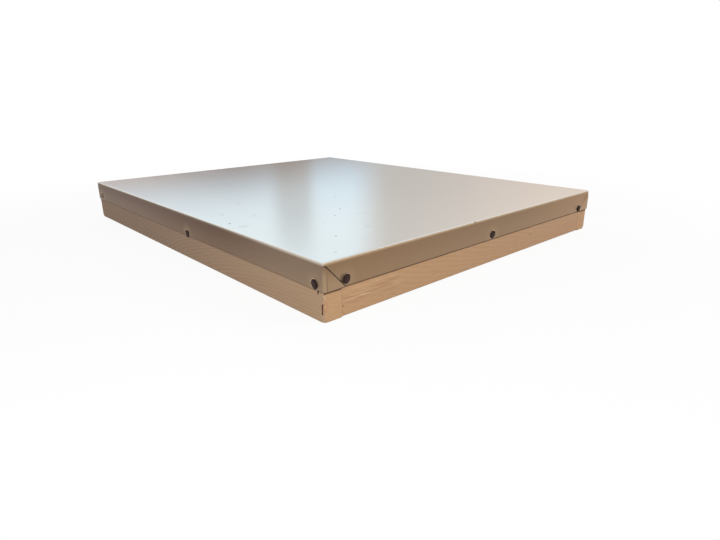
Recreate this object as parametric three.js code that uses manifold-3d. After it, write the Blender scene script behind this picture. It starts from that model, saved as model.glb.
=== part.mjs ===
// Telescoping hive cover: a pine rim, a plywood top board and a folded sheet-metal tray nailed over both.
// Millimetres, +Z up. The origin is under the middle of the cover, on the plane that the long rails stand on.
// The short sides are front (-Y) and back (+Y), the long sides are left (-X) and right (+X).
import * as THREE from 'three';
import { mergeVertices } from 'three/addons/utils/BufferGeometryUtils.js';
import Module from 'manifold-3d';

const wasm = await Module();
wasm.setup();

// Metal tray
const trayWidth = 464;
const trayLength = 559;
const sheetThickness = 0.5;
const flangeDepth = 25;
const foldGap = 0.15;
const traySlack = 0.3;

// Wooden rim
const railThickness = 19;
const railHeight = 40;
const shortRailLift = 0.8;
const buttGap = 0.2;
const rimCornerRadius = 1.5;
const wornCornerRadius = 4;
const wornCornerHeight = 4;
const railEdgeRadius = 0.8;

// Plywood top board
const boardThickness = 12;
const boardSeatDepth = 0.2;
const boardSeatMargin = 0.5;
const boardEdgeRadius = 0.6;

// Nails through the flanges
const flangeNailHeadDiameter = 9.5;
const flangeNailRim = 0.7;
const flangeNailCrown = 0.5;
const flangeNailShankDiameter = 2.4;
const flangeNailLength = 16;
const flangeNailPoint = 3.5;
const headSeatGap = 0.3;
const headTiltDown = THREE.MathUtils.degToRad(8);
const earNailTiltAside = THREE.MathUtils.degToRad(6);

// Where the flange nails sit: along the side seen from outside, and above the flange's lower edge
const shortNailFromLeftEnd = 25.3;
const shortNailPastMiddle = 4.9;
const shortNailFromRightEnd = 25;
const shortNailLeftRise = 5.5;
const shortNailMiddleRise = 4.8;
const shortNailRightRise = 2.3;
const longNailFromLeftEnd = 12.9;
const longNailPastMiddle = 30.9;
const longNailFromRightEnd = 11.7;
const longNailLeftRise = 5.6;
const longNailMiddleRise = 2;
const longNailRightRise = 4.3;

// Nails that hold the board down on the rails
const boardNailHeadDiameter = 5.5;
const boardNailRim = 1.1;
const boardNailCrown = 0.1;
const boardNailShankDiameter = 2.5;
const boardNailLength = 38;
const boardNailPoint = 4;
const boardNailSink = 0.1;
const longSideBoardNailShares = [-0.36, -0.12, 0.12, 0.36];
const shortSideBoardNailShares = [-0.25, 0.25];

// Staples through the ends of the long rails into the ends of the short ones
const stapleCrown = 10.6;
const stapleWireThickness = 0.7;
const stapleWireWidth = 0.95;
const stapleLegLength = 38;
const stapleBendRadius = 0.6;
const stapleSink = 0.9;
const lowerStapleInset = 2.2;
const lowerStapleHeight = 12.1;
const lowerStapleLean = THREE.MathUtils.degToRad(1);
const upperStapleInset = 6;
const upperStapleLean = THREE.MathUtils.degToRad(14);
const stapleOverNail = 0.45;

// Fits and cuts
const fastenerClearance = 0.2;
const cutOverrun = 5;

// How finely round shapes are divided
const cornerSteps = 4;
const edgeSteps = 4;
const headSegments = 20;
const holeSegments = 12;
const domeSteps = 3;

const quarterTurn = Math.PI / 2;

// Heights of the stack, from the plane that the long rails stand on
const boardSeat = railHeight + boardSeatDepth;
const boardTop = boardSeat + boardThickness;
const trayTop = boardTop + traySlack + sheetThickness;
const flangeBottom = trayTop - flangeDepth;

// Two more layers of metal lie on each short flange where a corner ear is folded over it
const earStack = 2 * (sheetThickness + foldGap);
const flangeHalfWidth = trayWidth / 2;
const earHalfLength = trayLength / 2;
const flangeHalfLength = earHalfLength - earStack;
const rimHalfWidth = flangeHalfWidth - sheetThickness - traySlack;
const rimHalfLength = flangeHalfLength - sheetThickness - traySlack;

// Bends are concentric: wood, slack, metal
const trayCornerInner = rimCornerRadius + traySlack;
const trayCornerOuter = trayCornerInner + sheetThickness;
const trayBendInner = boardEdgeRadius + traySlack;
const trayBendOuter = trayBendInner + sheetThickness;
const earCornerInner = trayCornerOuter + foldGap;
const earCornerOuter = earCornerInner + sheetThickness;

const sheetMetal = { color: 0xd3d6d4, roughness: 0.32, metalness: 1 };
const pine = { color: 0xcf9f76, roughness: 0.7, metalness: 0 };
const plywood = { color: 0xd8b48a, roughness: 0.75, metalness: 0 };
const brownNail = { color: 0x4a3030, roughness: 0.5, metalness: 0.6 };
const brightNail = { color: 0xa8a8a4, roughness: 0.4, metalness: 1 };
const stapleWire = { color: 0x6b5a50, roughness: 0.5, metalness: 0.8 };

// A closed geometry as a solid that can be cut. Faces that a pole has shrunk to a line are dropped.
function toSolid(geometry) {
  const bare = geometry.clone();
  bare.deleteAttribute('normal');
  bare.deleteAttribute('uv');
  const merged = mergeVertices(bare);
  const corners = merged.index.array;
  const faces = [];
  for (let i = 0; i < corners.length; i += 3) {
    const [a, b, c] = [corners[i], corners[i + 1], corners[i + 2]];
    if (a !== b && b !== c && c !== a) faces.push(a, b, c);
  }
  const vertProperties = merged.attributes.position.array;
  return new wasm.Manifold(new wasm.Mesh({ numProp: 3, vertProperties, triVerts: new Uint32Array(faces) }));
}

function toGeometry(solid) {
  const mesh = solid.getMesh();
  const geometry = new THREE.BufferGeometry();
  geometry.setAttribute('position', new THREE.BufferAttribute(mesh.vertProperties, mesh.numProp));
  geometry.setIndex(new THREE.BufferAttribute(mesh.triVerts, 1));
  geometry.computeVertexNormals();
  return geometry;
}

function block(low, high) {
  const size = new THREE.Vector3().subVectors(high, low);
  const middle = new THREE.Vector3().addVectors(low, high).multiplyScalar(0.5);
  return new THREE.BoxGeometry(size.x, size.y, size.z).translate(middle.x, middle.y, middle.z);
}

// An outline made solid, half of its depth on either side of the outline's plane
function extrudeAcross(outline, depth) {
  const options = { depth, bevelEnabled: false, curveSegments: edgeSteps };
  return new THREE.ExtrudeGeometry(outline, options).translate(0, 0, -depth / 2);
}

// A rectangle with round corners at one height, anticlockwise seen from above
function roundedRing(halfWidth, halfLength, radius, height) {
  const ring = [];
  for (let corner = 0; corner < 4; corner += 1) {
    const signX = corner === 0 || corner === 3 ? 1 : -1;
    const signY = corner < 2 ? 1 : -1;
    for (let step = 0; step <= cornerSteps; step += 1) {
      const angle = quarterTurn * (corner + step / cornerSteps);
      const x = signX * (halfWidth - radius) + radius * Math.cos(angle);
      const y = signY * (halfLength - radius) + radius * Math.sin(angle);
      ring.push(new THREE.Vector3(x, y, height));
    }
  }
  return ring;
}

// A closed solid through rings listed from the lowest to the highest
function loft(rings) {
  const count = rings[0].length;
  const points = rings.flat();
  const bottomCentre = points.length;
  const topCentre = bottomCentre + 1;
  points.push(new THREE.Vector3(0, 0, rings[0][0].z), new THREE.Vector3(0, 0, rings.at(-1)[0].z));
  const faces = [];
  for (let level = 0; level < rings.length - 1; level += 1) {
    for (let i = 0; i < count; i += 1) {
      const next = (i + 1) % count;
      const [a, b] = [level * count + i, level * count + next];
      faces.push(a, b, b + count, a, b + count, a + count);
    }
  }
  for (let i = 0; i < count; i += 1) {
    const next = (i + 1) % count;
    const last = (rings.length - 1) * count;
    faces.push(bottomCentre, next, i, topCentre, last + i, last + next);
  }
  return new THREE.BufferGeometry().setFromPoints(points).setIndex(faces);
}

// A round-cornered slab whose upper edge is rounded with its own radius
function slab(halfWidth, halfLength, corner, low, high, edge) {
  const rings = [roundedRing(halfWidth, halfLength, corner, low)];
  for (let step = 0; step <= edgeSteps; step += 1) {
    const angle = (quarterTurn * step) / edgeSteps;
    const inset = edge * (1 - Math.cos(angle));
    const height = high - edge * (1 - Math.sin(angle));
    rings.push(roundedRing(halfWidth - inset, halfLength - inset, corner, height));
  }
  return loft(rings);
}

// Fasteners are placed first, because the holes of the wood and the metal follow them.
const cover = new THREE.Group();
const sides = {};

// Each side has its own group: +X runs along it from left to right seen from outside, and +Y points inwards.
function addSide(name, quarterTurns, halfRun, outerFace, rimHalfRun, rimFace) {
  const group = new THREE.Group();
  group.rotation.z = quarterTurns * quarterTurn;
  cover.add(group);
  sides[name] = { name, group, halfRun, outerFace, rimHalfRun, rimFace };
}
addSide('front', 0, flangeHalfWidth, flangeHalfLength, rimHalfWidth, rimHalfLength);
addSide('right', 1, earHalfLength, flangeHalfWidth, rimHalfLength, rimHalfWidth);
addSide('back', 2, flangeHalfWidth, flangeHalfLength, rimHalfWidth, rimHalfLength);
addSide('left', 3, earHalfLength, flangeHalfWidth, rimHalfLength, rimHalfWidth);

function addPiece(parent, name, geometry, finish) {
  const mesh = new THREE.Mesh(geometry, new THREE.MeshStandardMaterial(finish));
  mesh.name = name;
  parent.add(mesh);
  return mesh;
}

function lathe(profile, segments) {
  const points = profile.map(([radius, along]) => new THREE.Vector2(radius, along));
  return new THREE.LatheGeometry(points, segments);
}

// A nail along +Y, with the underside of its head at the origin and its head towards -Y
function nailGeometry(size, tiltDown, tiltAside) {
  const headRadius = size.headDiameter / 2;
  const dome = [];
  for (let step = 0; step <= domeSteps; step += 1) {
    const share = step / domeSteps;
    dome.push([headRadius * share, -size.rim - size.crown * (1 - share * share)]);
  }
  const head = lathe([...dome, [headRadius, 0], [0, 0]], headSegments);
  head.rotateX(tiltDown);
  head.rotateZ(tiltAside);
  const shankRadius = size.shankDiameter / 2;
  const root = -size.rim / 2;
  const shoulder = size.length - size.point;
  const shankProfile = [[0, root], [shankRadius, root], [shankRadius, shoulder], [0, size.length]];
  const shank = lathe(shankProfile, holeSegments);
  return toGeometry(toSolid(head).add(toSolid(shank)));
}

// The space that a nail's shank needs, and where it is sunk in, its head
function nailHole(size, headIsSunk) {
  const shankRadius = size.shankDiameter / 2 + fastenerClearance;
  const headRadius = size.headDiameter / 2 + fastenerClearance;
  const end = size.length + fastenerClearance;
  const mouthRadius = headIsSunk ? headRadius : shankRadius;
  const mouth = [[0, -cutOverrun], [mouthRadius, -cutOverrun]];
  const step = headIsSunk ? [[headRadius, fastenerClearance], [shankRadius, fastenerClearance]] : [];
  return lathe([...mouth, ...step, [shankRadius, end], [0, end]], holeSegments);
}

const flangeNail = {
  headDiameter: flangeNailHeadDiameter,
  rim: flangeNailRim,
  crown: flangeNailCrown,
  shankDiameter: flangeNailShankDiameter,
  length: flangeNailLength,
  point: flangeNailPoint,
};
const boardNail = {
  headDiameter: boardNailHeadDiameter,
  rim: boardNailRim,
  crown: boardNailCrown,
  shankDiameter: boardNailShankDiameter,
  length: boardNailLength,
  point: boardNailPoint,
};

const flangeNails = [];
const boardNails = [];
const staples = [];

// A flange nail's head tips down over the flange's lower edge. Beside an ear it stands on the ear's layers
// too and tips away from them. ear is -1 where the ear is on the nail's left, 1 on its right, 0 for none.
function addFlangeNail(side, number, along, rise, ear) {
  const layers = ear === 0 ? 0 : earStack;
  const lift = layers + headSeatGap + Math.tan(headTiltDown) * Math.min(rise, flangeNailHeadDiameter / 2);
  const geometry = nailGeometry(flangeNail, headTiltDown, -ear * earNailTiltAside);
  const mesh = addPiece(side.group, `${side.name}_flange_nail_${number}`, geometry, brownNail);
  mesh.position.set(along, -side.outerFace - lift, flangeBottom + rise);
  flangeNails.push(mesh);
}

for (const name of ['front', 'back']) {
  const side = sides[name];
  addFlangeNail(side, 1, shortNailFromLeftEnd - side.halfRun, shortNailLeftRise, -1);
  addFlangeNail(side, 2, shortNailPastMiddle, shortNailMiddleRise, 0);
  addFlangeNail(side, 3, side.halfRun - shortNailFromRightEnd, shortNailRightRise, 1);
}
for (const name of ['left', 'right']) {
  const side = sides[name];
  addFlangeNail(side, 1, longNailFromLeftEnd - side.halfRun, longNailLeftRise, 0);
  addFlangeNail(side, 2, longNailPastMiddle, longNailMiddleRise, 0);
  addFlangeNail(side, 3, side.halfRun - longNailFromRightEnd, longNailRightRise, 0);
}

// Board nails stand over the middle of the rails, their heads a little below the board's face
function addBoardNails(side, shares) {
  shares.forEach((share, index) => {
    const geometry = nailGeometry(boardNail, 0, 0);
    const mesh = addPiece(side.group, `${side.name}_board_nail_${index + 1}`, geometry, brightNail);
    const headUnderside = boardTop - boardNailSink - boardNailCrown - boardNailRim;
    mesh.position.set(2 * side.halfRun * share, railThickness / 2 - side.rimFace, headUnderside);
    mesh.rotation.x = -quarterTurn;
    boardNails.push(mesh);
  });
}
for (const name of ['left', 'right']) addBoardNails(sides[name], longSideBoardNailShares);
for (const name of ['front', 'back']) addBoardNails(sides[name], shortSideBoardNailShares);

// A staple's outline: a crown from start to crownEnd, and two legs of one thickness that run on to legEnd
function stapleOutline(start, crownEnd, legEnd, half, leg, bend) {
  const outline = new THREE.Shape();
  outline.moveTo(start + bend, -half);
  outline.lineTo(legEnd, -half);
  outline.lineTo(legEnd - leg, leg - half);
  outline.lineTo(crownEnd, leg - half);
  outline.lineTo(crownEnd, half - leg);
  outline.lineTo(legEnd - leg, half - leg);
  outline.lineTo(legEnd, half);
  outline.lineTo(start + bend, half);
  outline.absarc(start + bend, half - bend, bend, quarterTurn, 2 * quarterTurn, false);
  outline.lineTo(start, bend - half);
  outline.absarc(start + bend, bend - half, bend, 2 * quarterTurn, 3 * quarterTurn, false);
  return outline;
}

// The outline stands in the plane of +Y (inwards) and +Z, and has the wire's width along X
function extrudeStaple(outline, width) {
  return extrudeAcross(outline, width).rotateX(quarterTurn).rotateZ(quarterTurn);
}

// The upper staple straddles the nail beside the ear: its upper leg passes just over the nail's shank
const stapleHalf = stapleCrown / 2;
const upperLegBelow = (stapleHalf - stapleWireThickness) * Math.cos(upperStapleLean)
  - (stapleWireWidth / 2) * Math.sin(upperStapleLean);
const earNailTop = flangeBottom + shortNailLeftRise + flangeNailShankDiameter / 2;
const upperStapleHeight = earNailTop + stapleOverNail - upperLegBelow;

const stapleShape = stapleOutline(
  0, stapleWireThickness, stapleLegLength, stapleHalf, stapleWireThickness, stapleBendRadius);
const stapleSlotShape = stapleOutline(
  -cutOverrun,
  stapleWireThickness + fastenerClearance,
  stapleLegLength + 2 * fastenerClearance,
  stapleHalf + fastenerClearance,
  stapleWireThickness + 2 * fastenerClearance,
  stapleBendRadius);

function addStaple(side, name, along, height, lean) {
  const geometry = toGeometry(toSolid(extrudeStaple(stapleShape, stapleWireWidth)));
  const mesh = addPiece(side.group, name, geometry, stapleWire);
  mesh.position.set(along, stapleSink - side.rimFace, height);
  mesh.rotation.y = lean;
  staples.push(mesh);
}

// A corner's two staples lean alike at both ends of a rail: their tops towards the corner
function addCornerStaples(side, corner, end) {
  const lowerAlong = end * (side.rimHalfRun - lowerStapleInset);
  const upperAlong = end * (side.rimHalfRun - upperStapleInset);
  addStaple(side, `${corner}_staple_lower`, lowerAlong, lowerStapleHeight, end * lowerStapleLean);
  addStaple(side, `${corner}_staple_upper`, upperAlong, upperStapleHeight, end * upperStapleLean);
}
addCornerStaples(sides.left, 'front_left', 1);
addCornerStaples(sides.left, 'back_left', -1);
addCornerStaples(sides.right, 'front_right', -1);
addCornerStaples(sides.right, 'back_right', 1);

cover.updateMatrixWorld(true);

function holesFor(meshes, holeGeometry) {
  return meshes.map((mesh) => toSolid(holeGeometry.clone().applyMatrix4(mesh.matrixWorld)));
}
const flangeNailHoles = holesFor(flangeNails, nailHole(flangeNail, false));
const boardNailHoles = holesFor(boardNails, nailHole(boardNail, true));
const stapleSlot = extrudeStaple(stapleSlotShape, stapleWireWidth + 2 * fastenerClearance);
const stapleSlots = holesFor(staples, stapleSlot);

function cut(solid, holes) {
  return holes.reduce((body, hole) => body.subtract(hole), solid);
}

// A rail's section, from its inner face outwards along +X, with the lower outer edge rounded off
function railGeometry(length, low) {
  const section = new THREE.Shape();
  section.moveTo(0, low);
  section.lineTo(railThickness - railEdgeRadius, low);
  section.absarc(
    railThickness - railEdgeRadius, low + railEdgeRadius, railEdgeRadius, -quarterTurn, 0, false);
  section.lineTo(railThickness, railHeight);
  section.lineTo(0, railHeight);
  return extrudeAcross(section, length).rotateX(quarterTurn);
}

// The rim's outline in plan: upright corners a little rounded, and worn rounder at their feet
function rimEnvelope() {
  const rings = [];
  for (let step = 0; step <= edgeSteps; step += 1) {
    const share = step / edgeSteps;
    const wear = (1 - share) * (1 - share);
    const radius = rimCornerRadius + (wornCornerRadius - rimCornerRadius) * wear;
    rings.push(roundedRing(rimHalfWidth, rimHalfLength, radius, wornCornerHeight * share));
  }
  rings.push(roundedRing(rimHalfWidth, rimHalfLength, rimCornerRadius, railHeight));
  return loft(rings);
}

// Long rails run the whole length and show their end grain at the front and the back.
// Short rails stand between them, butted against their inner faces, and stop a little higher.
const railHoles = [...flangeNailHoles, ...boardNailHoles, ...stapleSlots];
const envelope = toSolid(rimEnvelope());
const shortRailLength = 2 * (rimHalfWidth - railThickness - buttGap);

function addRail(name, turns, length, low, outerFace) {
  const geometry = railGeometry(length, low);
  geometry.translate(outerFace - railThickness, 0, 0).rotateZ(turns * quarterTurn);
  const solid = cut(toSolid(geometry).intersect(envelope), railHoles);
  addPiece(cover, name, toGeometry(solid), pine);
}
addRail('right_rail', 0, 2 * rimHalfLength, 0, rimHalfWidth);
addRail('back_rail', 1, shortRailLength, shortRailLift, rimHalfLength);
addRail('left_rail', 2, 2 * rimHalfLength, 0, rimHalfWidth);
addRail('front_rail', 3, shortRailLength, shortRailLift, rimHalfLength);

// The rails have pressed a shallow seat all round the board's underside, so its middle is level with their tops
function boardSolid() {
  const outline = slab(rimHalfWidth, rimHalfLength, rimCornerRadius, boardSeat, boardTop, boardEdgeRadius);
  const fieldHalfWidth = rimHalfWidth - railThickness - boardSeatMargin;
  const fieldHalfLength = rimHalfLength - railThickness - boardSeatMargin;
  const field = block(
    new THREE.Vector3(-fieldHalfWidth, -fieldHalfLength, railHeight),
    new THREE.Vector3(fieldHalfWidth, fieldHalfLength, boardSeat + boardSeatDepth));
  return toSolid(outline).add(toSolid(field));
}
addPiece(cover, 'top_board', toGeometry(cut(boardSolid(), boardNailHoles)), plywood);

// The tray before its ears: one shell, open below
function trayShell() {
  const outer = slab(
    flangeHalfWidth, flangeHalfLength, trayCornerOuter, flangeBottom, trayTop, trayBendOuter);
  const inner = slab(
    flangeHalfWidth - sheetThickness,
    flangeHalfLength - sheetThickness,
    trayCornerInner,
    flangeBottom - cutOverrun,
    trayTop - sheetThickness,
    trayBendInner);
  return toSolid(outer).subtract(toSolid(inner));
}

// A band of each short side between two distances from the middle of the cover, under one outline in X and Z
function bandUnder(outline, near, far) {
  const depth = far - near;
  const prism = new THREE.ExtrudeGeometry(outline, { depth, bevelEnabled: false }).rotateX(quarterTurn);
  const front = prism.clone().translate(0, -near, 0);
  const back = prism.clone().translate(0, far, 0);
  return toSolid(front).add(toSolid(back));
}

// The ear's upper layer is a right triangle: its upright leg on the corner, its foot level with the flange,
// its long edge the fold. hand is -1 at the left end of the front and 1 at its right end.
function earTriangle(hand, outside) {
  const corner = hand * flangeHalfWidth;
  const outline = new THREE.Shape();
  outline.moveTo(corner + hand * outside, flangeBottom);
  outline.lineTo(corner - hand * flangeDepth, flangeBottom);
  outline.lineTo(corner, trayTop);
  outline.lineTo(corner + hand * outside, trayTop);
  outline.closePath();
  return outline;
}

// The strip along the long edge where the sheet turns back under itself
function foldStrip(hand) {
  const corner = hand * flangeHalfWidth;
  const across = sheetThickness * Math.SQRT2;
  const outline = new THREE.Shape();
  outline.moveTo(corner - hand * flangeDepth, flangeBottom);
  outline.lineTo(corner - hand * (flangeDepth - across), flangeBottom);
  outline.lineTo(corner - hand * earCornerOuter, trayTop - earCornerOuter - across);
  outline.lineTo(corner - hand * earCornerOuter, trayTop - earCornerOuter);
  outline.closePath();
  return outline;
}

// The strip beside the corner where the short flange turns back to become the ear's lower layer
function cornerStrip(hand) {
  const edge = hand * (flangeHalfWidth - earCornerOuter);
  const outline = new THREE.Shape();
  outline.moveTo(edge, flangeBottom);
  outline.lineTo(edge - hand * sheetThickness, flangeBottom);
  outline.lineTo(edge - hand * sheetThickness, trayTop - earCornerOuter - sheetThickness);
  outline.lineTo(edge, trayTop - earCornerOuter);
  outline.closePath();
  return outline;
}

// The corners aren't cut: each is folded flat over the short flange as an ear of two more layers, the
// upper one running round the corner into the long flange.
function ears() {
  const wrapTop = trayTop - trayBendOuter;
  const outside = slab(flangeHalfWidth, earHalfLength, earCornerOuter, flangeBottom, wrapTop, sheetThickness);
  const inside = slab(
    flangeHalfWidth - sheetThickness,
    earHalfLength - sheetThickness,
    earCornerInner,
    flangeBottom - cutOverrun,
    wrapTop + cutOverrun,
    sheetThickness);
  const shell = toSolid(outside).subtract(toSolid(inside));
  const between = toSolid(block(
    new THREE.Vector3(earCornerOuter - flangeHalfWidth, -earHalfLength, flangeBottom),
    new THREE.Vector3(flangeHalfWidth - earCornerOuter, earHalfLength, trayTop)));
  const wrapStart = earHalfLength - earCornerOuter;
  const lowerFace = flangeHalfLength + foldGap;
  const upperFace = lowerFace + sheetThickness;
  const pairs = [-1, 1].map((hand) => {
    const upperLayer = shell.intersect(bandUnder(earTriangle(hand, cutOverrun), wrapStart, trayLength));
    const lowerLayer = bandUnder(earTriangle(hand, 0), lowerFace, upperFace).intersect(between);
    const fold = bandUnder(foldStrip(hand), lowerFace, earHalfLength);
    const turn = bandUnder(cornerStrip(hand), flangeHalfLength - sheetThickness / 2, upperFace);
    return upperLayer.add(lowerLayer).add(fold).add(turn);
  });
  return pairs[0].add(pairs[1]);
}

addPiece(cover, 'roof_sheet', toGeometry(cut(trayShell().add(ears()), flangeNailHoles)), sheetMetal);

export default cover;
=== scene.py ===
"""Telescoping hive cover: a tray of satin sheet metal, nailed over a plywood board and a pine rim.

Lengths are in metres, and inside materials in millimetres. The cover stands on its long rails at z = 0. Its
front faces -Y and its left side -X.
"""

import functools
import logging
import math
import random
from collections.abc import Callable, Iterable, Mapping, Sequence
from dataclasses import dataclass, field
from enum import Enum
from typing import Any

import bmesh
import bpy
from mathutils import Matrix, Vector


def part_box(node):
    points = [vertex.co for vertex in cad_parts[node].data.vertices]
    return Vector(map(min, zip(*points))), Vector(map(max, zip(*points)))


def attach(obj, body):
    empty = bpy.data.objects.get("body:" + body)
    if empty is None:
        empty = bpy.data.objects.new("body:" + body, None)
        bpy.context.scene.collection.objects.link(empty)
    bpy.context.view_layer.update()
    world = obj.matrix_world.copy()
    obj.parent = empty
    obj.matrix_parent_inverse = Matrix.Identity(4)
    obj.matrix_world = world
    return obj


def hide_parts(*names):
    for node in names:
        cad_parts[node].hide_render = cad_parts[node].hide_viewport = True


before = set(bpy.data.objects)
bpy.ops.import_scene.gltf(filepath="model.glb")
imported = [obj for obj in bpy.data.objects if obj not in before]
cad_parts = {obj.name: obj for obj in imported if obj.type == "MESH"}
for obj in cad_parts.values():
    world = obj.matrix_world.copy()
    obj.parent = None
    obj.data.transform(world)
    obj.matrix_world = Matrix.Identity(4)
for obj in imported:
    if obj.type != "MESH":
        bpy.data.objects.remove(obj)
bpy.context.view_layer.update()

MM = 0.001
# How close two places are that count as one.
NEAR = 0.02 * MM
# How near to an axis a face's normal points, as a cosine, when the face is square to it.
SQUARE = 0.99
BODY = "root"
# The height that the flanges reach down to, and the rim's corner at the right, the back and the top.
FLANGE_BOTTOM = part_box("roof_sheet")[0].z
RIM_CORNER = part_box("right_rail")[1]
LOG = logging.getLogger("hive_cover")

Colour = tuple[float, float, float, float]
Span = tuple[float, float]
Triple = tuple[float, float, float]
Socket = bpy.types.NodeSocket
Part = bmesh.types.BMVert | bmesh.types.BMEdge | bmesh.types.BMFace


def colour(red: int, green: int, blue: int) -> Colour:
    """A linear colour from the 0 to 255 values that a screen shows.

    Args:
        red: Red, 0 to 255.
        green: Green, 0 to 255.
        blue: Blue, 0 to 255.

    Returns:
        The linear colour, with full alpha.
    """
    shares = [value / 255 for value in (red, green, blue)]
    linear = [share / 12.92 if share <= 0.04045 else ((share + 0.055) / 1.055) ** 2.4 for share in shares]
    return (linear[0], linear[1], linear[2], 1.0)


def smooth_share(value: float, low: float, high: float) -> float:
    """How far a value has come from low to high, eased at both ends.

    Args:
        value: The value.
        low: Where the share is 0.
        high: Where the share is 1.

    Returns:
        The share, from 0 to 1.
    """
    share = min(1.0, max(0.0, (value - low) / (high - low)))
    return share * share * (3 - 2 * share)


class Element(Enum):
    """What a pick chooses in edit mode."""

    POINT = "VERT"
    EDGE = "EDGE"
    FACE = "FACE"


def middle(part: Part) -> Vector:
    """The middle of a point, an edge or a face.

    Args:
        part: The point, edge or face.

    Returns:
        Its middle, in the object's own frame.
    """
    if isinstance(part, bmesh.types.BMVert):
        return part.co
    if isinstance(part, bmesh.types.BMEdge):
        return (part.verts[0].co + part.verts[1].co) / 2
    return part.calc_center_median()


def choose(obj: bpy.types.Object) -> None:
    """Deselects everything, then selects one object and makes it the active one.

    Args:
        obj: The object.
    """
    for other in bpy.context.selected_objects:
        other.select_set(False)
    obj.select_set(True)
    bpy.context.view_layer.objects.active = obj


def settle(obj: bpy.types.Object) -> None:
    """Puts an object's place, turn and size into its mesh."""
    choose(obj)
    bpy.ops.object.transform_apply(location=True, rotation=True, scale=True)


def treat(obj: bpy.types.Object, kind: str, **settings: Any) -> None:
    """Adds a modifier with its settings and applies it.

    Args:
        obj: The object.
        kind: The modifier's type.
        settings: Its settings by name.
    """
    choose(obj)
    modifier = obj.modifiers.new(kind.lower(), kind)
    for name, value in settings.items():
        setattr(modifier, name, value)
    bpy.ops.object.modifier_apply(modifier=modifier.name)


def copy_of(obj: bpy.types.Object, name: str) -> bpy.types.Object:
    """A copy of an object with a mesh of its own.

    Args:
        obj: The object.
        name: The copy's name.

    Returns:
        The copy.
    """
    choose(obj)
    bpy.ops.object.duplicate(linked=False)
    made = bpy.context.object
    made.name = name
    made.data.name = name
    return made


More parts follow.
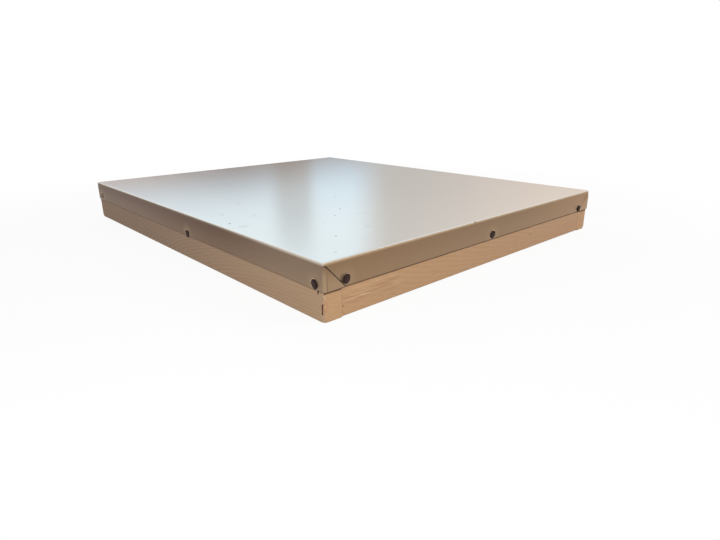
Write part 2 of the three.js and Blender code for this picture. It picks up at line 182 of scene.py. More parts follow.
class Bench:
    """One mesh that stays in edit mode while it is shaped by hand tools."""

    def __init__(self, obj: bpy.types.Object) -> None:
        """Takes an object into edit mode.

        Args:
            obj: The object.
        """
        self.obj = obj
        choose(obj)
        bpy.ops.object.mode_set(mode="EDIT")

    @classmethod
    def fresh(cls, name: str) -> "Bench":
        """Takes up the primitive that was just made.

        Args:
            name: The object's name and its mesh's name.

        Returns:
            The bench.
        """
        obj = bpy.context.object
        obj.name = name
        obj.data.name = name
        settle(obj)
        return cls(obj)

    @classmethod
    def block(cls, name: str, low: Vector, high: Vector) -> "Bench":
        """Starts from a cube that fills a box.

        Args:
            name: The object's name.
            low: The box's lowest corner.
            high: Its highest corner.

        Returns:
            The bench.
        """
        bpy.ops.mesh.primitive_cube_add(size=1, location=(low + high) / 2)
        bpy.context.object.scale = high - low
        return cls.fresh(name)

    @classmethod
    def sheet(cls, name: str, low: Vector, high: Vector, cell: float) -> "Bench":
        """Starts from a level grid of about square cells.

        Args:
            name: The object's name.
            low: One corner of the grid.
            high: The opposite corner.
            cell: About how wide a cell is.

        Returns:
            The bench.
        """
        size = high - low
        bpy.ops.mesh.primitive_grid_add(
            x_subdivisions=round(size.x / cell),
            y_subdivisions=round(size.y / cell),
            size=1,
            location=(low + high) / 2)
        bpy.context.object.scale = (size.x, size.y, 1)
        return cls.fresh(name)

    @classmethod
    def disc(cls, name: str, radius: float, depth: float, sides: int) -> "Bench":
        """Starts from an upright cylinder that stands on the origin.

        Args:
            name: The object's name.
            radius: Its radius.
            depth: Its height.
            sides: How many flat sides it is made of.

        Returns:
            The bench.
        """
        bpy.ops.mesh.primitive_cylinder_add(
            vertices=sides, radius=radius, depth=depth, location=(0, 0, depth / 2))
        return cls.fresh(name)

    def _parts(self, work: bmesh.types.BMesh, element: Element) -> Iterable[Part]:
        """The mesh's points, edges or faces."""
        return {Element.POINT: work.verts, Element.EDGE: work.edges, Element.FACE: work.faces}[element]

    def pick(self, element: Element, test: Callable[[Any], bool]) -> None:
        """Picks the parts in view that pass a test, and nothing else.

        Args:
            element: Whether points, edges or faces are picked.
            test: Takes a part and says whether it is picked.
        """
        bpy.ops.mesh.select_all(action="DESELECT")
        bpy.ops.mesh.select_mode(type=element.value)
        work = bmesh.from_edit_mesh(self.obj.data)
        for part in self._parts(work, element):
            if not part.hide and test(part):
                part.select_set(True)
        work.select_flush_mode()
        bmesh.update_edit_mesh(self.obj.data)

    def extrude(self, x: float = 0, y: float = 0, z: float = 0) -> None:
        """Extrudes what is picked and moves the new end."""
        bpy.ops.mesh.extrude_region_move(TRANSFORM_OT_translate={"value": (x, y, z)})

    def spin(self, centre: Vector, axis: Vector, angle: float, steps: int) -> None:
        """Extrudes what is picked round an axis, right-handed. With no window the tool turns the other way.

        Args:
            centre: A point on the axis.
            axis: The axis.
            angle: The angle in radians.
            steps: How many steps it is made in.
        """
        bpy.ops.mesh.spin(steps=steps, angle=-angle, center=centre, axis=axis)

    def bisect(self, point: Vector, normal: Vector, clear: bool = False) -> None:
        """Cuts what is picked along a plane, and clears what lies in front of the plane if asked."""
        bpy.ops.mesh.bisect(plane_co=point, plane_no=normal, clear_outer=clear, use_fill=False)

    def bevel(self, width: float, segments: int) -> None:
        """Rounds the picked edges off."""
        bpy.ops.mesh.bevel(offset=width, offset_type="OFFSET", segments=segments, affect="EDGES")

    def inset(self, width: float, depth: float = 0) -> None:
        """Insets the picked faces, and sinks or raises what is inside."""
        bpy.ops.mesh.inset(thickness=width, depth=depth)

    def shrink(self, share: float, centre: Vector) -> None:
        """Scales what is picked towards a point."""
        bpy.ops.transform.resize(value=(share, share, share), center_override=centre)

    def divide(self, cuts: int) -> None:
        """Divides what is picked."""
        bpy.ops.mesh.subdivide(number_cuts=cuts)

    def delete(self, element: Element) -> None:
        """Deletes what is picked."""
        bpy.ops.mesh.delete(type=element.value)

    def merge(self) -> None:
        """Merges the picked points that lie on each other."""
        bpy.ops.mesh.remove_doubles(threshold=NEAR)

    def hide(self) -> None:
        """Takes what is picked out of view, so that no tool reaches it."""
        bpy.ops.mesh.hide(unselected=False)

    def show_all(self) -> None:
        """Brings all that was hidden back into view."""
        bpy.ops.mesh.reveal(select=False)

    def press(self, rule: Callable[[Vector], Vector]) -> None:
        """Moves each picked point by what a rule says.

        Args:
            rule: Takes a point's place and gives how far it moves.
        """
        work = bmesh.from_edit_mesh(self.obj.data)
        for point in work.verts:
            if point.select:
                point.co += rule(point.co)
        bmesh.update_edit_mesh(self.obj.data)

    def done(self) -> bpy.types.Object:
        """Leaves edit mode, with all faces turned outwards.

        Returns:
            The object.
        """
        bpy.ops.mesh.select_all(action="SELECT")
        bpy.ops.mesh.normals_make_consistent(inside=False)
        bpy.ops.object.mode_set(mode="OBJECT")
        return self.obj


def smooth(obj: bpy.types.Object, angle: float = 35.0, weighted: bool = False) -> None:
    """Shades a mesh smooth where its faces meet at less than an angle.

    Args:
        obj: The object.
        angle: The angle in degrees.
        weighted: Whether large flat faces keep their own direction beside small ones.
    """
    choose(obj)
    bpy.ops.object.shade_smooth_by_angle(angle=math.radians(angle))
    if weighted:
        treat(obj, "WEIGHTED_NORMAL", keep_sharp=True, weight=100)


class Side(Enum):
    """A side of the cover, by the direction that it faces."""

    FRONT = (0, -1)
    RIGHT = (1, 0)
    BACK = (0, 1)
    LEFT = (-1, 0)

    @property
    def outward(self) -> Vector:
        """The direction that the side faces."""
        return Vector((*self.value, 0))

    @property
    def along(self) -> Vector:
        """From left to right, seen from outside."""
        return Vector((-self.value[1], self.value[0], 0))

    @property
    def word(self) -> str:
        """The side's name in small letters, as the nodes have it."""
        return self.name.lower()

    @property
    def turn(self) -> Matrix:
        """The turn that brings the front round to this side."""
        return Matrix((self.along, -self.outward, Vector((0, 0, 1)))).transposed()

    @classmethod
    def of(cls, node: str) -> "Side":
        """The side that a node's name starts with."""
        return cls[node.split("_")[0].upper()]


class Number:
    """A number in a shader. Python's operators on it add Math nodes."""

    def __init__(self, shop: "ShaderShop", socket: Socket) -> None:
        """Wraps a socket of a shop's tree."""
        self.shop = shop
        self.socket = socket

    def __add__(self, other: "Number | float") -> "Number":
        """Sum."""
        return self.shop.math("ADD", self, other)

    def __sub__(self, other: "Number | float") -> "Number":
        """Difference."""
        return self.shop.math("SUBTRACT", self, other)

    def __mul__(self, other: "Number | float") -> "Number":
        """Product."""
        return self.shop.math("MULTIPLY", self, other)

    def __truediv__(self, other: "Number | float") -> "Number":
        """Quotient."""
        return self.shop.math("DIVIDE", self, other)

    def __rsub__(self, other: float) -> "Number":
        """Difference from a plain number."""
        return self.shop.math("SUBTRACT", other, self)

    def __abs__(self) -> "Number":
        """Size without sign."""
        return self.shop.math("ABSOLUTE", self)

    __radd__ = __add__
    __rmul__ = __mul__


Input = Number | Socket | float | Sequence[float]


class ShaderShop:
    """The node tree of one material or of the world, and the one place where its nodes are made."""

    def __init__(self, tree: bpy.types.NodeTree) -> None:
        """Empties the tree."""
        self.tree = tree
        tree.nodes.clear()

    @classmethod
    def for_material(cls, name: str) -> "tuple[ShaderShop, bpy.types.Material]":
        """Starts a new material.

        Args:
            name: The material's name.

        Returns:
            The shop for its tree, and the material.
        """
        material = bpy.data.materials.new(name)
        material.use_nodes = True
        return cls(material.node_tree), material

    def add(
        self,
        kind: str,
        settings: Mapping[str, Any] | None = None,
        sockets: Mapping[str | int, Input] | None = None,
    ) -> bpy.types.Node:
        """Adds a node: its settings are set first, then its sockets are given values or links.

        Args:
            kind: The node's type.
            settings: Its settings by name.
            sockets: What its inputs take, by name or number.

        Returns:
            The node.
        """
        node = self.tree.nodes.new(kind)
        for name, value in (settings or {}).items():
            setattr(node, name, value)
        for name, value in (sockets or {}).items():
            value = value.socket if isinstance(value, Number) else value
            if isinstance(value, Socket):
                self.tree.links.new(value, node.inputs[name])
            else:
                node.inputs[name].default_value = value
        return node

    def math(self, operation: str, *values: Input) -> Number:
        """A Math node's result."""
        node = self.add("ShaderNodeMath", {"operation": operation}, dict(enumerate(values)))
        return Number(self, node.outputs[0])

    def vector(self, operation: str, *values: Input) -> Socket:
        """A Vector Math node's vector."""
        node = self.add("ShaderNodeVectorMath", {"operation": operation}, dict(enumerate(values)))
        return node.outputs[0]

    def measure(self, operation: str, *values: Input) -> Number:
        """A Vector Math node's number, such as a length or a distance."""
        node = self.add("ShaderNodeVectorMath", {"operation": operation}, dict(enumerate(values)))
        return Number(self, node.outputs["Value"])

    def largest(self, *numbers: Number) -> Number:
        """The largest of some numbers."""
        return functools.reduce(functools.partial(self.math, "MAXIMUM"), numbers)

    def smallest(self, *numbers: Input) -> Number:
        """The smallest of some numbers."""
        return functools.reduce(functools.partial(self.math, "MINIMUM"), numbers)

    def blend(self, share: Input, first: Input, second: Input) -> Socket:
        """Two colours mixed by a share."""
        sockets = {0: share, 6: first, 7: second}
        return self.add("ShaderNodeMix", {"data_type": "RGBA"}, sockets).outputs[2]

    def mix(self, share: Input, first: Input, second: Input) -> Socket:
        """Two shaders mixed by a share."""
        return self.add("ShaderNodeMixShader", {}, {0: share, 1: first, 2: second}).outputs[0]

    def step(self, value: Input, low: float, high: float) -> Number:
        """A share that eases from 0 at low to 1 at high, where low may be the larger.

        Args:
            value: What is measured.
            low: Where the share is 0.
            high: Where it is 1.

        Returns:
            The share.
        """
        sockets = {"Value": value, "From Min": low, "From Max": high}
        node = self.add("ShaderNodeMapRange", {"interpolation_type": "SMOOTHSTEP"}, sockets)
        return Number(self, node.outputs[0])

    def noise(self, place: Input, scale: float, detail: float = 2.0, roughness: float = 0.5) -> Number:
        """Noise around 0.5."""
        sockets = {"Vector": place, "Scale": scale, "Detail": detail, "Roughness": roughness}
        return Number(self, self.add("ShaderNodeTexNoise", {}, sockets).outputs[0])

    def place(self) -> Socket:
        """The place on the object in millimetres."""
        return self.stretched(self.add("ShaderNodeTexCoord").outputs["Object"], 1 / MM, 1 / MM, 1 / MM)

    def stretched(self, place: Input, x: float, y: float, z: float) -> Socket:
        """A place scaled along each axis."""
        return self.vector("MULTIPLY", place, (x, y, z))

    def split(self, vector: Input) -> tuple[Number, Number, Number]:
        """A vector's three numbers."""
        outputs = self.add("ShaderNodeSeparateXYZ", {}, {0: vector}).outputs
        return Number(self, outputs[0]), Number(self, outputs[1]), Number(self, outputs[2])

    def joined(self, x: Input, y: Input, z: Input) -> Socket:
        """A vector of three numbers."""
        return self.add("ShaderNodeCombineXYZ", {}, {0: x, 1: y, 2: z}).outputs[0]

    def bump(self, height: Input, distance: float) -> Socket:
        """A normal that follows a height, given as a share of a distance."""
        sockets = {"Strength": 1.0, "Distance": distance, "Height": height}
        return self.add("ShaderNodeBump", {}, sockets).outputs[0]

    def finish(self, sockets: Mapping[str, Input]) -> None:
        """Ends a material with the surface shader that takes these sockets."""
        surface = self.add("ShaderNodeBsdfPrincipled", {}, sockets)
        self.add("ShaderNodeOutputMaterial", {}, {"Surface": surface.outputs[0]})


@dataclass(frozen=True)
class Scuff:
    """A faint mark on the roof: its middle and half sizes in millimetres, its turn and how dark it is."""

    x: float
    y: float
    half_length: float
    half_width: float
    turn: float
    depth: float


@dataclass(frozen=True)
class SheetFinish:
    """Satin sheet metal: a pale roof with faint scuffs and warmer flanges. The roof's paler, cooler colour
    is partly a painted reflection of the room above it. Painted shade lies along the left ears' folds and
    creases and in the ding;
    painted highlights lie on the bends, the rounded corners, the ears, the nails' dents and the rings round
    the heads, and over the right ears' folds; and the long flanges are painted darker, the short ones
    lighter, towards their far ends, as painted shade and painted light.

    Lengths are in millimetres. A span says where something starts and where it is full. It counts from the
    tray's own side, end or top where its name has in, edge or drop.
    """

    tray: "MetalTray"
    roof: Colour = colour(233, 235, 234)
    roof_dull: Colour = colour(222, 223, 220)
    short_flange: Colour = colour(148, 118, 88)
    # Painted light: the short flanges grow lighter towards their right ends.
    short_flange_far: Colour = colour(164, 128, 92)
    long_flange: Colour = colour(142, 118, 96)
    # Painted shade: the long flanges grow darker towards the back.
    long_flange_far: Colour = colour(98, 63, 34)
    lit_flange: Colour = colour(190, 160, 126)
    # Painted highlight on the raised rings round the nails, also laid over the right ears' folds.
    lip: Colour = colour(232, 206, 172)
    # The bends' colours are painted highlights along the fold over the roof's edge, dimmer towards the back
    # of the long sides.
    short_bend: Colour = colour(204, 176, 142)
    long_bend: Colour = colour(214, 202, 186)
    long_bend_far: Colour = colour(146, 134, 118)
    # Painted shade for the ears' folds and creases and the ding; the rolling lines borrow it for their own
    # darker streaks.
    seam: Colour = colour(38, 26, 20)
    mark: Colour = colour(84, 90, 88)
    roughness: float = 0.16
    flange_roughness: float = 0.42
    bend_roughness: float = 0.6
    rolling_lines: Triple = (0.55, 0.006, 0.55)
    roof_edge: Span = (-1.1, -0.3)
    bend_edge: Span = (-3.4, -1.0)
    long_edge: Span = (-3.0, -1.0)
    long_far: Span = (-262.0, -80.0)
    short_far: Span = (20.0, 215.0)
    # Where painted highlights lie on the ears, the rounded corners and the nails' dents.
    ear_in: Span = (-27.0, -8.0)
    ear_low: Span = (47.0, 33.0)
    corner_in: Span = (-3.4, -1.2)
    corner_edge: Span = (-3.4, -1.6)
    corner_low: Span = (50.0, 40.0)
    pressed: Span = (15.0, 6.0)
    lip_radius: float = 4.75
    lip_line: Span = (0.8, 0.2)
    lip_rise: float = 3.0
    seam_line: Span = (1.0, 0.35)
    seam_drop: Span = (0.8, -0.4)
    seam_foot: Span = (-2.0, -0.5)
    crease_line: Span = (0.5, 0.15)
    crease_high: Span = (47.0, 43.0)
    crease_low: Span = (41.0, 37.0)
    ear_edge: Span = (-2.2, -1.4)
    left_half: Span = (100.0, -100.0)
    ding_spot: Span = (2.3, 1.0)
    ding_drop: float = 0.6
    scuff_edge: Span = (1.0, 0.2)
    scuffs: tuple[Scuff, ...] = (
        Scuff(-219.0, -108.0, 3.4, 1.6, 60, 0.95),
        Scuff(-214.5, -128.0, 9.0, 6.0, 20, 0.12),
        Scuff(-204.5, -63.0, 8.0, 4.0, 80, 0.1),
        Scuff(-180.5, -93.0, 3.6, 1.6, 55, 0.4),
        Scuff(-140.5, -118.0, 2.6, 1.6, 50, 0.5),
        Scuff(-159.5, -20.5, 9.0, 4.5, 60, 0.1),
        Scuff(-48.5, -74.0, 6.0, 4.0, 55, 0.14),
        Scuff(-89.5, -132.5, 4.0, 1.4, 50, 0.55),
        Scuff(-116.0, -154.5, 4.0, 1.4, 52, 0.55),
        Scuff(-87.0, -165.5, 8.0, 3.0, -25, 0.18),
        Scuff(-149.5, -176.5, 4.0, 1.6, 45, 0.18),
        Scuff(-123.0, -215.5, 4.0, 3.0, 40, 0.14),
        Scuff(-171.0, -222.0, 4.4, 1.3, 58, 0.55),
        Scuff(-205.0, -262.0, 5.0, 2.0, 30, 0.14),
    )

    def build(self) -> bpy.types.Material:
        """Makes the material.

        Returns:
            The material.
        """
        shop, material = ShaderShop.for_material("satin_sheet")
        place = shop.place()
        above = shop.split(place)[2] - self.tray.top / MM
        on_roof = shop.step(above, *self.roof_edge)
        on_bend = shop.step(above, *self.bend_edge)
        rolling = shop.noise(shop.stretched(place, *self.rolling_lines), 1.0, 3.0)
        marks = self._marks(shop, place)
        dull = 0.35 * shop.noise(place, 0.012, 3.0) + 0.25 * rolling
        roof = shop.blend(marks, shop.blend(dull, self.roof, self.roof_dull), self.mark)
        # The roof is painted paler and cooler than the flanges of the same sheet, partly as a painted
        # reflection of the room above it.
        base = shop.blend(on_roof, self._flange(shop, place, rolling, on_bend), roof)
        # Painted shade in the ding's dent, a little below its middle.
        ding = self.tray.ding / MM - Vector((0, 0, self.ding_drop))
        ding = shop.step(shop.measure("DISTANCE", place, tuple(ding)), *self.ding_spot)
        roughness = self.flange_roughness + (self.bend_roughness - self.flange_roughness) * on_bend
        roughness = roughness + (self.roughness - self.bend_roughness) * on_roof
        height = 0.6 * rolling + 0.4 * shop.noise(place, 0.05, 2.0)
        shop.finish({
            "Base Color": shop.blend(0.4 * ding, base, self.seam),
            "Metallic": 0.6 + 0.4 * on_roof,
            "Roughness": roughness + 0.06 * (rolling - 0.5) + 0.08 * marks,
            "Normal": shop.bump(height, 0.01 * MM),
        })
        return material

    def _marks(self, shop: ShaderShop, place: Input) -> Number:
        """How strongly each place of the roof is scuffed.

        Args:
            shop: Makes the nodes.
            place: The place in millimetres.

        Returns:
            The darkest scuff's strength.
        """
        wander = shop.noise(place, 0.35, 3.0)
        height = self.tray.top / MM
        marks = []
        for scuff in self.scuffs:
            inside = shop.add("ShaderNodeMapping", {"vector_type": "TEXTURE"}, {
                "Vector": place,
                "Location": (scuff.x, scuff.y, height),
                "Rotation": (0, 0, math.radians(scuff.turn)),
                "Scale": (scuff.half_length, scuff.half_width, height),
            }).outputs[0]
            distance = shop.measure("LENGTH", inside) + 1.2 * (wander - 0.5)
            marks.append(scuff.depth * shop.step(distance, *self.scuff_edge))
        return shop.largest(*marks)

    def _flange(self, shop: ShaderShop, place: Input, rolling: Number, on_bend: Number) -> Socket:
        """The flanges' colour, with the bend above them, and their painted highlights and painted shade.

        Args:
            shop: Makes the nodes.
            place: The place in millimetres.
            rolling: The lines that the rolls left.
            on_bend: How far the place is up the bend.

        Returns:
            The colour.
        """
        x, y, z = shop.split(place)
        beside = abs(x) - self.tray.half_width / MM
        behind = abs(y) - self.tray.ear_face / MM
        on_long = shop.step(beside, *self.long_edge)
        # Painted shade: the long flanges darken towards the back, and their bends' painted highlight dims.
        far = shop.step(y, *self.long_far)
        long_flange = shop.blend(far, self.long_flange, self.long_flange_far)
        short_flange = shop.blend(shop.step(x, *self.short_far), self.short_flange, self.short_flange_far)
        flange = shop.blend(on_long, short_flange, long_flange)
        pressed, lip = self._pressed(shop, place)
        # Painted highlights: lighter towards the flanges' foot, in the nails' dents, low on the ears beside
        # the corners and down the rounded corners.
        lit = shop.step(z, self.tray.top / MM, self.tray.bottom / MM)
        ear = shop.step(beside, *self.ear_in) * shop.step(z, *self.ear_low)
        corner = shop.step(beside, *self.corner_in) * shop.step(behind, *self.corner_edge)
        corner = corner * shop.step(z, *self.corner_low)
        glow = 0.2 * lit + 0.16 * pressed + 0.3 * (1 - on_long) * ear + 0.5 * corner
        flange = shop.blend(glow, flange, self.lit_flange)
        # The rolling lines' own streaks, darkened halfway towards the shade colour.
        flange = shop.blend(0.22 * rolling, flange, shop.blend(0.5, flange, self.seam))
        # Painted highlight on the rings round the nail heads.
        flange = shop.blend(lip, flange, self.lip)
        # The bend's colour is a painted highlight along the top fold.
        bend = shop.blend(on_long, self.short_bend, shop.blend(far, self.long_bend, self.long_bend_far))
        # Painted shade in the left ears' folds and creases, and painted highlight over the right ears'
        # folds.
        fold_shade, fold_highlight = self._folds(shop, place)
        flange = shop.blend(fold_shade, shop.blend(on_bend, flange, bend), self.seam)
        return shop.blend(fold_highlight, flange, self.lip)

    def _pressed(self, shop: ShaderShop, place: Input) -> tuple[Number, Number]:
        """Paints highlights where the nails press the sheet in, and on the raised ring round each head,
        stronger above it.

        Args:
            shop: Makes the nodes.
            place: The place in millimetres.

        Returns:
            The shares of the painted highlight in the dent and on the ring.
        """
        seats = [nail.seat / MM for nail in self.tray.nails]
        distance = shop.smallest(*[shop.measure("DISTANCE", place, tuple(seat)) for seat in seats])
        height = sum(seat.z for seat in seats) / len(seats)
        z = shop.split(place)[2]
        above = shop.step(z, height, height + self.lip_rise)
        below = shop.step(z, height, height - self.lip_rise)
        lip = shop.step(abs(distance - self.lip_radius), *self.lip_line) * (above + 0.4 * below)
        return shop.step(distance, *self.pressed), 0.75 * lip

    def _folds(self, shop: ShaderShop, place: Input) -> tuple[Number, Number]:
        """Painted shade and painted highlight along the ears' diagonal folds and upright creases.

        Args:
            shop: Makes the nodes.
            place: The place in millimetres.

        Returns:
            How much painted shade lies in them on the left, and how much painted highlight over the folds on
            the right.
        """
        x, y, z = shop.split(place)
        apex, foot = self.tray.apex / MM, self.tray.foot / MM
        slope = (foot - apex).normalized()
        away = (abs(x) + apex.x) * slope.z + (z - apex.z) * slope.x
        seam = shop.step(abs(away), *self.seam_line) * shop.step(z - apex.z, *self.seam_drop)
        seam = seam * shop.step(abs(x) + foot.x, *self.seam_foot)
        crease_x = (self.tray.half_width - self.tray.crease_in) / MM
        crease = shop.step(abs(abs(x) - crease_x), *self.crease_line)
        crease = crease * (0.15 * shop.step(z, *self.crease_high) + 0.45 * shop.step(z, *self.crease_low))
        on_ear = shop.step(abs(y) - self.tray.ear_face / MM, *self.ear_edge)
        on_left = shop.step(x, *self.left_half)
        return 0.9 * on_left * on_ear * shop.largest(seam, crease), 0.25 * (1 - on_left) * on_ear * seam


@dataclass(frozen=True)
class RailPlace:
    """A place on a rail in millimetres: whole, and as the way along it, the depth in it and the height."""

    whole: Socket
    along: Number
    depth: Number
    height: Number

    def scaled(self, along: float, depth: float, height: float) -> Socket:
        """The place with its numbers scaled, for grain that runs along the rail."""
        return self.along.shop.joined(along * self.along, depth * self.depth, height * self.height)


@dataclass(frozen=True)
class PineFinish:
    """Planed bare pine. Its rings lie on long ellipsoids round a pith, and show as arches and end grain.

    Lengths are in millimetres, and a span says where something starts and where it is full.
    """

    name: str
    side: Side
    pith: Triple
    taper: float
    ring: float = 3.4
    figure: float = 0.16
    early: Colour = colour(193, 153, 114)
    late: Colour = colour(168, 126, 92)
    # The colour at the rail's far end: on the left rail painted shade towards the back, elsewhere close to
    # the near colour.
    far: Colour = colour(189, 151, 117)
    blush: Colour = colour(190, 142, 112)
    end_wood: Colour = colour(196, 157, 117)
    # Painted highlight on the raised grain's ridges.
    ridge: Colour = colour(216, 182, 148)
    fray: Colour = colour(226, 200, 170)
    gap_shade: Colour = colour(66, 44, 32)
    # Painted shade in the staples' slots, tinted rust red.
    slot_shade: Colour = colour(66, 22, 12)
    stain: Colour = colour(176, 98, 72)
    shade: float = 0.9
    end_shade: float = 0.8
    shade_edge: Span = (-2.0, -0.9)
    joint_depth: float = 18.6
    fade_from: float = -277.4
    wander: float = 6.0
    blotch: float = 0.5
    late_rise: Span = (0.3, 0.85)
    late_fall: Span = (1.0, 0.88)
    blotches: Span = (0.45, 0.75)
    end_blush: Span = (0.55, 0.75)
    end_face: Span = (-0.7, -0.2)
    slot_ends: Span = (-0.6, -1.0)
    slot_near: Span = (0.1, 0.4)
    slot_deep: Span = (2.2, 1.9)
    slot_low: Span = (3.0, 3.5)
    slot_high: Span = (38.0, 37.5)
    corner_fray: Span = (2.4, 0.9)
    joint_fray: Span = (1.8, 0.7)
    pale_ticks: Span = (0.54, 0.62)
    dark_ticks: Span = (0.42, 0.36)
    stain_place: Triple = (1000.0, 0.0, 0.0)
    stain_radius: float = 1.6
    stain_line: Span = (0.9, 0.2)
    streaks_along: float = 1000.0
    streaks_length: Span = (46.0, 24.0)
    streaks_height: float = 17.0
    streaks_width: Span = (8.0, 4.0)
    dark_ridges: Span = (0.47, 0.4)
    pale_ridges: Span = (0.55, 0.63)

    @property
    def outer_face(self) -> float:
        """How far the rail's outer face is from the middle of the cover."""
        return abs(self.side.outward.dot(RIM_CORNER)) / MM

    @property
    def half_length(self) -> float:
        """Half the rim's length along this side."""
        return abs(self.side.along.dot(RIM_CORNER)) / MM

    def build(self) -> bpy.types.Material:
        """Makes the material.

        Returns:
            The material.
        """
        shop, material = ShaderShop.for_material(self.name)
        at = self._place(shop)
        late = self._late_wood(shop, at)
        fibres = shop.noise(at.scaled(0.03, 1.0, 1.0), 1.9, 4.0, 0.65)
        pores = shop.noise(at.whole, 1.4, 3.0, 0.7)
        on_end = shop.step(abs(at.along) - self.half_length, *self.end_face)
        long_wood = self._long_wood(shop, at, late, fibres)
        wood = shop.blend(on_end, long_wood, self._end_wood(shop, at, late, pores))
        wood = self._fray(shop, at, wood)
        wood = self._shades(shop, at, wood, on_end)
        from_stain = shop.stretched(shop.vector("SUBTRACT", at.whole, self.stain_place), 1.0, 1.0, 0.45)
        ring = shop.measure("LENGTH", from_stain) + 3.0 * (pores - 0.5) - self.stain_radius
        wood = shop.blend(0.35 * shop.step(abs(ring), *self.stain_line), wood, self.stain)
        streaks = shop.step(abs(at.along - self.streaks_along), *self.streaks_length)
        streaks = streaks * shop.step(abs(at.height - self.streaks_height), *self.streaks_width)
        ridges = shop.noise(at.scaled(0.02, 0.2, 0.6), 1.0, 2.0)
        # Painted light and shade along the raised grain's ridges: pale lines beside dark ones, the dark ones
        # in the late wood's colour.
        wood = shop.blend(0.5 * streaks * shop.step(ridges, *self.dark_ridges), wood, self.late)
        wood = shop.blend(0.6 * streaks * shop.step(ridges, *self.pale_ridges), wood, self.ridge)
        surface = 0.15 * late + 0.5 * fibres + 0.3 * on_end * pores + streaks * (0.8 * fibres + 3.0 * ridges)
        shop.finish({
            "Base Color": wood,
            "Roughness": 0.62 + 0.12 * late,
            "Normal": shop.bump(surface, 0.2 * MM),
        })
        return material

    def _place(self, shop: ShaderShop) -> RailPlace:
        """The place as the rail sees it.

        Args:
            shop: Makes the nodes.

        Returns:
            The place.
        """
        whole = shop.place()
        x, y, height = shop.split(whole)
        along, outward = self.side.along, self.side.outward
        depth = self.outer_face - (outward.x * x + outward.y * y)
        return RailPlace(whole, along.x * x + along.y * y, depth, height)

    def _late_wood(self, shop: ShaderShop, at: RailPlace) -> Number:
        """Where the dark late wood of the rings lies.

        Args:
            shop: Makes the nodes.
            at: The place.

        Returns:
            Its share.
        """
        warp = shop.noise(at.scaled(0.012, 0.09, 0.09), 1.0, 2.0)
        along, depth, height = self.pith
        radius = shop.measure("LENGTH", shop.joined(
            self.taper * (at.along - along), at.depth - depth, at.height - height))
        share = shop.math("FRACT", (radius + self.wander * (warp - 0.5)) / self.ring)
        return shop.step(share, *self.late_rise) * shop.step(share, *self.late_fall)

    def _long_wood(self, shop: ShaderShop, at: RailPlace, late: Number, fibres: Number) -> Input:
        """The colour of the faces that run along the rail.

        Args:
            shop: Makes the nodes.
            at: The place.
            late: Where the late wood lies.
            fibres: The noise of the fibres.

        Returns:
            The colour.
        """
        # The long faces fade towards their far-end colour, which on the left rail is painted shade.
        ends = (self.early, self.far) if self.side in (Side.FRONT, Side.BACK) else (self.far, self.early)
        wood = shop.blend(shop.step(at.along, self.fade_from, self.half_length), *ends)
        wood = shop.blend(self.figure * late + 0.6 * (fibres - 0.5), wood, self.late)
        broad = shop.noise(at.scaled(0.01, 0.05, 0.05), 1.0, 2.0)
        return shop.blend(self.blotch * shop.step(broad, *self.blotches), wood, self.blush)

    def _end_wood(self, shop: ShaderShop, at: RailPlace, late: Number, pores: Number) -> Input:
        """The colour of the sawn ends.

        Args:
            shop: Makes the nodes.
            at: The place.
            late: Where the late wood lies.
            pores: The noise of the pores.

        Returns:
            The colour.
        """
        wood = shop.blend(0.5 * self.figure * late + 1.3 * (pores - 0.45), self.end_wood, self.late)
        blush = shop.step(shop.noise(at.whole, 0.16, 2.0), *self.end_blush)
        return shop.blend(0.4 * blush, wood, self.blush)

    def _fray(self, shop: ShaderShop, at: RailPlace, wood: Input) -> Input:
        """Paints the pale and dark fibres that stand up along a rail's outer corners and its joint.

        Args:
            shop: Makes the nodes.
            at: The place.
            wood: The colour so far.

        Returns:
            The colour.
        """
        ticks = shop.noise(at.scaled(0.6, 0.6, 1.1), 1.0, 2.0, 0.7)
        from_end = self.half_length - abs(at.along)
        corner = shop.step(shop.largest(from_end, at.depth), *self.corner_fray)
        joint = shop.step(shop.largest(from_end, abs(at.depth - self.joint_depth)), *self.joint_fray)
        near = shop.largest(corner, 0.8 * joint)
        wood = shop.blend(near * shop.step(ticks, *self.pale_ticks), wood, self.fray)
        return shop.blend(0.7 * near * shop.step(ticks, *self.dark_ticks), wood, self.late)

    def _shades(self, shop: ShaderShop, at: RailPlace, wood: Input, on_end: Number) -> Input:
        """Paints shade into the staples' slots, tinted rust red, and a painted shadow on the wood under the
        flange's edge.

        Args:
            shop: Makes the nodes.
            at: The place.
            wood: The colour so far.
            on_end: Whether the place is on a sawn end.

        Returns:
            The colour.
        """
        in_slot = shop.step(at.depth, *self.slot_near) * shop.step(at.depth, *self.slot_deep)
        in_slot = in_slot * shop.step(abs(at.along) - self.half_length, *self.slot_ends)
        in_slot = in_slot * shop.step(at.height, *self.slot_low) * shop.step(at.height, *self.slot_high)
        wood = shop.blend(in_slot, wood, self.slot_shade)
        wander = 0.5 * (shop.noise(at.scaled(0.1, 0.1, 0.0), 1.0) - 0.5)
        behind = shop.step(at.height + wander + 1.2 * on_end - FLANGE_BOTTOM / MM, *self.shade_edge)
        strength = self.shade + (self.end_shade - self.shade) * on_end
        return shop.blend(behind * strength, wood, self.gap_shade)


